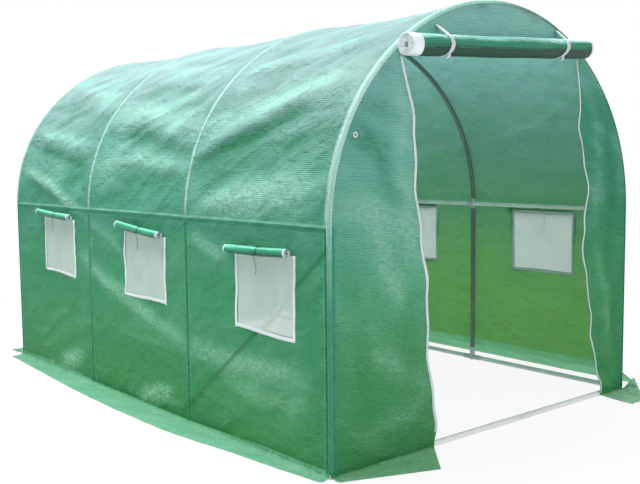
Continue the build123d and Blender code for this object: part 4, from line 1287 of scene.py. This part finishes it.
class TUNNEL_OT_seams(bpy.types.Operator):
    """Make the sewn bands where the end sheets meet the long cover."""
    bl_idname = "tunnel.seams"
    bl_label = "Sewn end bands"

    def execute(self, context):
        cloth = seam_material()
        thread = tape_material("seam_thread", linear("DDF0EA"), linear("9CCDBB"))
        # A darker copy of the thread for the stitches low down and on the right: painted shade
        shaded = tape_material("seam_thread_shaded", linear("5FA98C"), linear("3A8C70"))
        s = np.concatenate([np.linspace(0.02, EAVE, 60)[:-1], np.linspace(EAVE, SECTION_RUN - EAVE, 240),
                            np.linspace(SECTION_RUN - EAVE, SECTION_RUN - 0.02, 60)[1:]])
        _, _, nx, nz = section(s)
        half = len(s) // 2 + 24
        for name, sign in (("front", -1), ("rear", 1)):
            grid = np.stack([round_hoop(s, angle, sign, 0.0009)
                             for angle in np.radians(np.linspace(12, 84, 8))], 1)
            faces = grid_faces(len(s), 8)
            band = make_mesh(f"seam_band_{name}", grid, faces if sign < 0 else faces[:, ::-1],
                             spread(np.linspace(0, 0.021, 8)[None, :], s[:, None]))
            thicken(band, 0.0008, 1.0)
            dress(band, (cloth,))
            angles = np.radians((22, 74))
            rows = [round_hoop(s, angle, sign, 0.0019) for angle in angles]
            facings = [spread(nx * math.cos(angle), sign * math.sin(angle), nz * math.cos(angle))
                       for angle in angles]
            for word, part, finish in (("low", slice(0, 56), shaded), ("left", slice(56, half), thread),
                                       ("right", slice(half, None), shaded)):
                sewn = stitches(f"seam_stitches_{name}_{word}", [row[part] for row in rows],
                                [way[part] for way in facings], finish, 0.0095, 0.0060, 0.0016, 0.35)
                dress(sewn, (finish,))
        return {"FINISHED"}


class TUNNEL_OT_zips(bpy.types.Operator):
    """Make the zip tapes down both sides of the doorway, with their stitches and pulls."""
    bl_idname = "tunnel.zips"
    bl_label = "Doorway zips"

    def execute(self, context):
        cover, door = context.scene.tunnel_cover, context.scene.tunnel_door
        tape = tape_material("zip_tape", context.scene.tunnel_window.tape_colour, linear("8FB0A6"), 0.007)
        thread = tape_material("zip_thread", linear("F1F7F5"), linear("6F9C8C"))
        metal = fitting_material(context.scene.tunnel_steel)
        for name, jamb, side, foot, wide in (("left", LEFT_JAMB, -1, 0.075, door.zip_width * 1.2),
                                             ("right", RIGHT_JAMB, 1, 0.020, door.zip_width * 0.85)):
            top = float(head_height(smooth(jamb, 1.68))) - 0.004
            z = np.linspace(foot, top, 150)
            inner = smooth(jamb, z)
            edge = end_point(inner, z, cover, lift=0.0016)
            outer = end_point(inner + side * wide, z, cover, lift=0.0016)
            pair = (outer, edge) if side < 0 else (edge, outer)
            band = ribbon(f"zip_{name}", *pair, thickness=0.0012, columns=4)
            dress(band, (tape,), (f"door_zip_{name}",))
            rows = [end_point(inner + side * wide * share, z, cover, lift=0.0026) for share in (0.22, 0.78)]
            sewn = stitches(f"zip_stitches_{name}", rows, [(0, -1, 0)] * 2, thread, 0.0080, 0.0060, 0.0014,
                            0.7)
            dress(sewn, (thread,))
            pull_z = top - 0.05
            base = end_point(float(smooth(jamb, pull_z)) + side * 0.004, pull_z, cover, lift=0.004)
            slider = base + np.outer(np.linspace(0.010, -0.022, 9), (0, 0, 1))
            dress(round_bar(f"zip_pull_{name}", slider, 0.0026), (metal,))
        return {"FINISHED"}


def wound_sheet(name, centre, axis, front, up, length, radius, core, turns, end_angle, seed, per_turn,
                stations, squeeze, sag, thickness, wrinkle):
    """A sheet wound on itself round an axis: its mesh object and its flat length."""
    draw = np.random.RandomState(seed)
    count = int(turns * per_turn)
    theta = np.linspace(0, 2 * math.pi * turns, count + 1)
    base = core + (radius - core) * theta / theta[-1]
    along = np.linspace(-length / 2, length / 2, stations)
    angle = end_angle - (theta[-1] - theta)
    radial = np.broadcast_to(base[None, :], (stations, count + 1)).copy()
    share = (base - core) / (radius - core)
    for _ in range(10):
        cycles, lead = draw.randint(1, 5), draw.uniform(-18, 18)
        shift = draw.uniform(0, 2 * math.pi)
        radial += (wrinkle * 0.04 * np.sin(cycles * angle[None, :] + lead * along[:, None] + shift)
                   * share[None, :] ** 2)
    for place, depth, wide in squeeze:
        radial -= depth * np.exp(-((along[:, None] - place) / wide) ** 2) * share[None, :] ** 1.5
    # The windings lie a little apart at the ends
    loose = ease((np.abs(along) - length / 2 + 0.03) / 0.03)
    radial += 0.0012 * loose[:, None] * np.sin(angle[None, :] * 2 + 1.0) * share[None, :]
    middle = (np.asarray(centre) + along[:, None] * np.asarray(axis)
              - np.outer(sag * (1 - (2 * along / length) ** 2), (0, 0, 1)))
    points = (middle[:, None] + radial[..., None] * (np.cos(angle)[None, :, None] * np.asarray(front)
                                                     + np.sin(angle)[None, :, None] * np.asarray(up)))
    wound = np.concatenate([[0], np.cumsum(np.hypot(base[1:] * np.diff(theta), np.diff(base)))])
    item = make_mesh(name, points, grid_faces(stations, count + 1),
                     spread((along + length / 2)[:, None], wound[None, :]))
    thicken(item, thickness)
    return item, float(wound[-1])


def door_tie(side, centre, axis, up, door):
    """A tie's strap, from the half moon over the roll's front and under it, and its tail."""
    middle = centre + side * door.tie_spacing / 2 * axis
    radius = door.roll_radius + 0.0014
    over, under = math.radians(54.8), math.radians(-165)
    angle = np.linspace(over, under, 56)
    strap = np.linspace(1, 0, 18)[:-1]
    front, rise = (np.concatenate([radius * turn(over) * (1 - strap) + top * strap, radius * turn(angle)])
                   for turn, top in ((np.cos, -0.0445), (np.sin, 0.088)))
    shift = smooth(TIE_SHIFTS[side], np.linspace(0, 1, len(front)))
    path = middle + np.outer(front, (0, -1, 0)) + np.outer(rise, up) + np.outer(shift, axis)
    t = np.linspace(0, 1, 14)
    tail = (path[44] + (0, -0.0014, 0) + np.outer(t, (-0.012, -0.002, -0.020))
            + np.outer(np.sin(t * 3), (0.004, -0.003, 0)))
    wide = 0.0115 * axis
    return [ribbon(f"tie_{side}", path - wide, path + wide, 0.0012, 4),
            ribbon(f"tail_{side}", tail - wide * 0.85, tail + wide * 0.85, 0.0012, 4)]


class TUNNEL_OT_door(bpy.types.Operator):
    """Make the rolled-up door and the two tapes that hold it."""
    bl_idname = "tunnel.door"
    bl_label = "Rolled door"

    def execute(self, context):
        door = context.scene.tunnel_door
        axis = np.array((math.cos(DOOR_TILT), 0, math.sin(DOOR_TILT)))
        up = np.array((-math.sin(DOOR_TILT), 0, math.cos(DOOR_TILT)))
        centre = np.array((HEAD_X, -1.5651, HEAD_Z + 0.033))
        half = door.tie_spacing / 2
        roll, flat = wound_sheet("door_roll_sheet", centre, axis, (0, -1, 0), up, door.roll_length,
                                 door.roll_radius, 0.011, door.turns, math.pi, seed=21, per_turn=30,
                                 stations=100, squeeze=((-half, 0.0030, 0.02), (half, 0.0030, 0.02)),
                                 sag=0.003, thickness=0.0019, wrinkle=0.012)
        shades = ((0.40, 0.80, 0.74), (0.022, 0.22, 0.135), (0.003, 0.035, 0.016))
        # The collar's tape is greyed on all but the outer 0.27 m of the wound sheet, painted shade between
        # the windings
        finish = roll_material("door_roll_cloth", door.collar, door.roll_length - 0.010, shades,
                               context.scene.tunnel_window.tape_colour, flat - 0.27)
        dress(roll, (finish,), ("door_roll",))
        tape = tape_material("tie_tape", linear("E9F1F3"), linear("B5C6CC"))
        ties = [piece for side in (-1, 1) for piece in door_tie(side, centre, axis, up, door)]
        held = dress(join_meshes("door_tie_tapes", ties), (tape,), ("door_ties",))
        return {"FINISHED"}


def window_net(at, cover, window, tree, finish):
    """Net of one window, laid on a slightly dished surface: its object and its height."""
    u, v = np.linspace(-0.01, 1.01, 15)[None, :], np.linspace(-0.01, 1.01, 13)[:, None]
    y = at.middle - WINDOW_WIDTH / 2 + WINDOW_WIDTH * u + 0 * v
    low, high = smooth(at.sill, y), smooth(at.top, y)
    points = wall_point(at.side, y, low + (high - low) * v, cover, -0.0006)
    points[..., 0] -= at.side * 0.004 * np.sin(np.pi * np.clip(u, 0, 1)) * np.sin(np.pi * np.clip(v, 0, 1))
    base = make_mesh("net_base", points, grid_faces(13, 15))
    chart = base.data.attributes.new("chart", "FLOAT_VECTOR", "POINT")
    chart.data.foreach_set("vector", spread(u, v, 0.0).astype(np.float32).ravel())
    height = float((high - low).mean())
    share = window.strand / window.pitch
    values = {"Strands across": round(WINDOW_WIDTH / window.pitch),
              "Strands up": round(height / window.pitch), "Share across": share, "Share up": share,
              "Material": finish}
    net = through_tree(base, tree, f"window_net_{at.word}_{at.number}", values)
    return dress(net, (finish,), (f"window_meshes_{at.word}",)), height


def window_binding(at, cover, wide, binding, thread):
    """White tape round one window, on both faces of the sheet, and its stitches."""
    draw = np.random.RandomState(40 + at.number + 10 * (at.side > 0))
    half = WINDOW_WIDTH / 2
    t = np.linspace(0, 1, 34)
    tapes, rows = [], []

    def place(y, z, lift):
        return wall_point(at.side, y, z, cover, lift)

    def upright(edge, beyond):
        """An upright side's place along the wall, and heights from the foot tape to beyond the top."""
        y = at.middle + edge * half
        low, high = float(smooth(at.sill, y)), float(smooth(at.top, y))
        return y, low - wide + t * (high - low + wide + beyond)

    for edge in (-1, 1):
        y, z = upright(edge, 0.0)
        sway = 0.0035 * np.sin(t * draw.uniform(4, 7) + draw.uniform(0, 6))
        pair = (place(y + edge * 0.0005 + sway, z, 0.0012),
                place(y + edge * (wide + 0.0005) + sway, z, 0.0012))
        tapes.append(ribbon("binding", *pair[::edge * at.side], thickness=0.0012, columns=4))
        rows.append(place(y + edge * 0.0075 + sway, z, 0.0022))
    y = at.middle + (t * 2 - 1) * (half + wide - 0.003)
    foot = smooth(at.sill, y) + 0.003 * np.sin(t * draw.uniform(4, 7) + draw.uniform(0, 6))
    pair = (place(y, foot + 0.0005, 0.0014), place(y, foot - wide, 0.0014))
    tapes.append(ribbon("binding", *pair[::-at.side], thickness=0.0012, columns=4))
    rows.append(place(y, foot - 0.0070, 0.0024))
    # The same tape turned in round the edge, on the sheet's inner face
    for edge in (-1, 1):
        y, z = upright(edge, wide)
        tapes.append(ribbon("binding", place(y + edge * 0.0005, z, -0.0026),
                            place(y + edge * (wide - 0.002), z, -0.0026), thickness=0.0010))
    y = at.middle + (t * 2 - 1) * (half + wide - 0.002)
    for level, way in ((at.sill, -1), (at.top, 1)):
        z = smooth(level, y)
        tapes.append(ribbon("binding", place(y, z + way * 0.0005, -0.0036),
                            place(y, z + way * (wide - 0.002), -0.0036)))
    tape = dress(join_meshes(f"window_binding_{at.word}_{at.number}", tapes), (binding,),
                 (f"window_bindings_{at.word}",))
    sewn = stitches(f"window_stitches_{at.word}_{at.number}", rows, [(at.side, 0, 0)] * 3, thread, 0.0065,
                    0.0042, 0.0010, 0.6)
    return [tape, dress(sewn, (thread,))]


def window_flap(at, cover, window, cloth, cord):
    """Flap rolled up over one window and its tie: the roll, its unrolled height and the tie."""
    y = at.middle + FLAP_SHIFT
    face = wall_point(at.side, y + np.array((-0.1, 0.0, 0.1)), np.full(3, at.roll_z), cover)[:, 0]
    out = at.side * (float(np.abs(face).max()) + window.roll_radius + 0.0022)
    lean = math.atan(at.slope)
    roll, flat = wound_sheet(f"window_flap_{at.word}_{at.number}", (out, y, at.roll_z),
                             (0, math.cos(lean), math.sin(lean)), (at.side, 0, 0),
                             (0, -math.sin(lean), math.cos(lean)), window.roll_length, window.roll_radius,
                             0.006, FLAP_TURNS, math.pi / 2, seed=60 + at.number + 10 * (at.side > 0),
                             per_turn=24, stations=44, squeeze=((FLAP_TIE_AT, 0.0035, 0.014),), sag=0.0035,
                             thickness=0.0011, wrinkle=0.009)
    if at.side > 0:
        rework(roll, lambda work: bmesh.ops.reverse_faces(work, faces=work.faces))
    dress(roll, (cloth,), (f"window_flap_rolls_{at.word}",))

    # Tie: a loop round the roll, a loose tail and a small knot
    middle = np.array((out, y + FLAP_TIE_AT, at.roll_z - 0.003))
    radius = window.roll_radius - 0.0012
    turn = np.linspace(0, 2 * math.pi, 40)
    loop = middle + spread(at.side * radius * np.cos(turn), 0, radius * np.sin(turn))
    t = np.linspace(0, 1, 24)
    tail = (middle + (at.side * (radius + 0.001), 0, -0.004) + np.outer(t, (-at.side * 0.010, 0.006, -0.088))
            + np.outer(np.sin(t * 5.0 + at.number), (0, 0.006, 0)))
    turn = np.linspace(0, 2 * math.pi, 16)
    knot = (middle + (at.side * (radius + 0.002), 0, -0.002)
            + spread(0, 0.005 * np.cos(turn), 0.005 * np.sin(turn)))
    wide = np.array((0, 0.0028, 0))
    pieces = [ribbon("loop", loop - wide, loop + wide, 0.001),
              ribbon("tail", tail - wide * 0.7, tail + wide * 0.7, 0.001),
              ribbon("knot", knot, knot + (at.side * 0.003, 0, 0), 0.0012)]
    tie = dress(join_meshes(f"window_tie_{at.word}_{at.number}", pieces), (cord,),
                (f"window_flap_ties_{at.word}",))
    return roll, flat, tie


class TUNNEL_OT_windows(bpy.types.Operator):
    """Make the nets, bindings, rolled flaps and ties of the six windows."""
    bl_idname = "tunnel.windows"
    bl_label = "Mesh windows"

    def execute(self, context):
        cover, window = context.scene.tunnel_cover, context.scene.tunnel_window
        finish = net_material("window_net", window.net_colour)
        binding = tape_material("window_binding", window.tape_colour, linear("BFD3DA"), 0.005, 0.12)
        thread = tape_material("binding_thread", linear("FFFFFF"), linear("C7D8DC"))
        white = linear("DDEFF3")
        shades = ((0.20, 0.62, 0.46), (0.012, 0.24, 0.13), (0.004, 0.10, 0.055))
        cloth = roll_material("flap_roll_cloth", 0.009, window.roll_length - 0.009, shades, white)
        shades = (linear("4FAE86"), linear("1F7A55"), linear("145040"))
        cord = roll_material("flap_tie_tape", -1.0, 9.0, shades, white)
        tree = net_tree()
        for side, word, middles, sill, top, roll_zs, slopes in WINDOW_SIDES:
            for number, (middle, roll_z, slope) in enumerate(zip(middles, roll_zs, slopes), start=1):
                at = Window(side, word, number, middle, sill, top, roll_z, slope)
                net, height = window_net(at, cover, window, tree, finish)
                sewn_on = window_binding(at, cover, window.binding, binding, thread)
                roll, flat, tie = window_flap(at, cover, window, cloth, cord)
        return {"FINISHED"}


# Eyelet's turned profile, with its rolled lip, as radius and place along its axis
EYELET_PROFILE = ((0.0062, 0.0012), (0.0062, -0.0012), (0.0070, -0.0026), (0.0086, -0.0034),
                  (0.0104, -0.0030), (0.0116, -0.0018), (0.0118, -0.0006), (0.0100, -0.0002),
                  (0.0078, 0.0010), (0.0062, 0.0012))


def bolt_places():
    """Bolts on the inner sides of the legs, each as a line of one point, and the way that it faces."""
    places = []
    for side, y0, y1 in ((-1, -1.5, -0.5), (1, 1.5, 0.5)):
        places += [(side * (HALF_WIDTH - 0.0156), y, z) for y, z in ((y0, EAVE - 0.075), (y1, 0.090))]
    for side in (-1, 1):
        for y in (-1.5, -0.5, 0.5, 1.5):
            places += [(side * (HALF_WIDTH - 0.0143), y, EAVE - 0.0215),
                       (side * (HALF_WIDTH - 0.0150), y, 0.058)]
    return [[place] for place in places], [[(-math.copysign(1, place[0]), 0, 0)] for place in places]


class TUNNEL_OT_fittings(bpy.types.Operator):
    """Make the eyelet and the bolts, and finish the frame's tubes and fittings."""
    bl_idname = "tunnel.fittings"
    bl_label = "Steel and fastenings"

    def execute(self, context):
        steel = context.scene.tunnel_steel
        tube = steel_material("tube_steel", steel.tube_colour, steel.roughness)
        # The hoops, legs and braces get a darker, greener copy of the tube finish: painted shade of the tubes
        # inside the green cover
        dark = steel_material("arch_steel", linear("6B7F78"), steel.roughness, linear("3E524A"))
        fitting = fitting_material(steel)
        for name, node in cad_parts.items():
            if node.hide_render:
                continue
            if name.startswith(("eave_clips", "ridge_clips", "feet")):
                finish, slot = fitting, "fittings"
            # Hoops, legs and braces take the darker copy, painted shade
            elif name.startswith(("hoop_arch", "legs", "brace")):
                finish, slot = dark, "steel_tube"
            else:
                finish, slot = tube, "steel_tube"
            if not node.material_slots:
                node.data.materials.append(finish)
            for place in node.material_slots:
                place.material = finish
        base = path_object("bolt_places", *bolt_places())
        bolts = through_tree(base, bolt_tree(), "frame_bolts",
                             {"Radius": steel.bolt_radius, "Material": fitting})
        dress(bolts, (fitting,))
        radius, depth = np.array(EYELET_PROFILE).T[..., None]
        turn = np.linspace(0, 2 * math.pi, 37)
        grid = context.scene["eyelet"] + spread(radius * np.cos(turn), depth, radius * np.sin(turn))
        ring = make_mesh("eyelet_ring", grid, grid_faces(*grid.shape[:2]))
        tidy_mesh(ring, 0.00002, outward=True)
        lip = steel_material("eyelet_metal", (0.80, 0.83, 0.83), 0.30, (0.5, 0.55, 0.55))
        dress(ring, (lip,), ("front_eyelet",))
        return {"FINISHED"}


# Lamps: name, place, the point each is aimed at, the side of its square, and the setting of its power
LAMPS = (("overhead", (-1.6, 0.6, 5.2), (0.0, 0.0, 1.0), 3.0, "key_power"),
         ("front", (-1.0, -6.5, 3.0), (0.2, -1.0, 0.9), 3.5, "fill_power"),
         ("far side", (5.2, 1.6, 3.0), (0.9, 0.0, 0.7), 4.0, "side_power"))
CAMERA_PLACE = (-3.185, -4.059, 1.225)
YAW, PITCH, ROLL = (math.radians(angle) for angle in (39.9, -5.23, -0.57))


def pale_floor():
    """A wide plain floor that looks white but keeps the object's shadow."""
    n = Nodes("floor_pale")
    path = n.add("ShaderNodeLightPath")
    seen = n.math("MAXIMUM", path["Is Camera Ray"],
                  n.math("MAXIMUM", path["Is Glossy Ray"], path["Is Transmission Ray"]))
    away = Value(n, n.add("ShaderNodeVectorMath", {0: n.place()[0]}, operation="LENGTH")["Value"])
    near = 1.0 - ((away - 1.9) * 0.55).clamp()
    plain = n.add("ShaderNodeBsdfDiffuse", {"Color": (0.86, 0.86, 0.86)})[0]
    white = n.add("ShaderNodeEmission", {"Color": (1.0, 1.0, 1.0), "Strength": 1.0})[0]
    mixed = n.add("ShaderNodeMixShader", {0: seen * (near * -0.10 + 1.0), 1: plain, 2: white})[0]
    corners = [(-30, -30, -0.0006), (30, -30, -0.0006), (30, 30, -0.0006), (-30, 30, -0.0006)]
    floor = make_mesh("floor", corners, [(0, 1, 2, 3)])
    floor.data.materials.append(n.finish(mixed))
    return floor


class TUNNEL_OT_stage(bpy.types.Operator):
    """Set the pale floor, the soft light and the camera."""
    bl_idname = "tunnel.stage"
    bl_label = "Stage and camera"

    def execute(self, context):
        scene, stage = context.scene, context.scene.tunnel_stage
        scene.view_settings.view_transform = "Standard"
        pale_floor()

        n = Nodes("Soft light", "worlds")
        path = n.add("ShaderNodeLightPath")
        seen = n.math("MAXIMUM", path["Is Camera Ray"], path["Is Transmission Ray"])
        soft, bright = (n.add("ShaderNodeBackground", {"Color": (1.0, 1.0, 1.0), "Strength": strength})[0]
                        for strength in (stage.sky, 1.0))
        mixed = n.add("ShaderNodeMixShader", {0: seen, 1: soft, 2: bright})[0]
        scene.world = n.finish(mixed, "ShaderNodeOutputWorld")

        for name, place, aim, size, power in LAMPS:
            data = bpy.data.lights.new(name, "AREA")
            data.shape = "SQUARE"
            data.size = size
            data.energy = getattr(stage, power)
            lamp = in_scene(name, data)
            lamp.location = place
            lamp.rotation_mode = "QUATERNION"
            lamp.rotation_quaternion = (Vector(aim) - Vector(place)).to_track_quat("-Z", "Y")

        forward = Vector((math.sin(YAW) * math.cos(PITCH), math.cos(YAW) * math.cos(PITCH), math.sin(PITCH)))
        right = forward.cross(Vector((0, 0, 1))).normalized()
        up = right.cross(forward)
        across = math.cos(ROLL) * right + math.sin(ROLL) * up
        upright = math.cos(ROLL) * up - math.sin(ROLL) * right
        data = bpy.data.cameras.new("camera")
        data.lens = stage.lens
        data.sensor_width = 36.0
        data.sensor_fit = "HORIZONTAL"
        camera = in_scene("camera", data)
        turn = Matrix((across, upright, -forward)).transposed().to_4x4()
        camera.matrix_world = Matrix.Translation(CAMERA_PLACE) @ turn
        scene.camera = camera
        return {"FINISHED"}


class TUNNEL_PT_panel(bpy.types.Panel):
    """Lists the steps that make the greenhouse."""
    bl_idname = "TUNNEL_PT_panel"
    bl_label = "Polytunnel greenhouse"
    bl_space_type = "VIEW_3D"
    bl_region_type = "UI"
    bl_category = "Polytunnel"

    def draw(self, context):
        for operator in OPERATORS:
            self.layout.operator(operator.bl_idname)
        for name, group in SETTINGS.items():
            box = self.layout.box()
            for key in group.__annotations__:
                box.prop(getattr(context.scene, name), key)


SETTINGS = {"tunnel_cover": CoverSettings, "tunnel_door": DoorSettings, "tunnel_window": WindowSettings,
            "tunnel_steel": SteelSettings, "tunnel_stage": StageSettings}
OPERATORS = (TUNNEL_OT_stage, TUNNEL_OT_cover, TUNNEL_OT_front, TUNNEL_OT_rear, TUNNEL_OT_seams,
             TUNNEL_OT_zips, TUNNEL_OT_door, TUNNEL_OT_windows, TUNNEL_OT_fittings)


def register():
    for kind in (*SETTINGS.values(), *OPERATORS, TUNNEL_PT_panel):
        bpy.utils.register_class(kind)
    for name, group in SETTINGS.items():
        setattr(bpy.types.Scene, name, PointerProperty(type=group))


def unregister():
    for name in SETTINGS:
        delattr(bpy.types.Scene, name)
    for kind in reversed((*SETTINGS.values(), *OPERATORS, TUNNEL_PT_panel)):
        bpy.utils.unregister_class(kind)


def main():
    register()
    for operator in OPERATORS:
        getattr(bpy.ops.tunnel, operator.bl_idname.split(".")[1])()


if __name__ == "__main__":
    main()
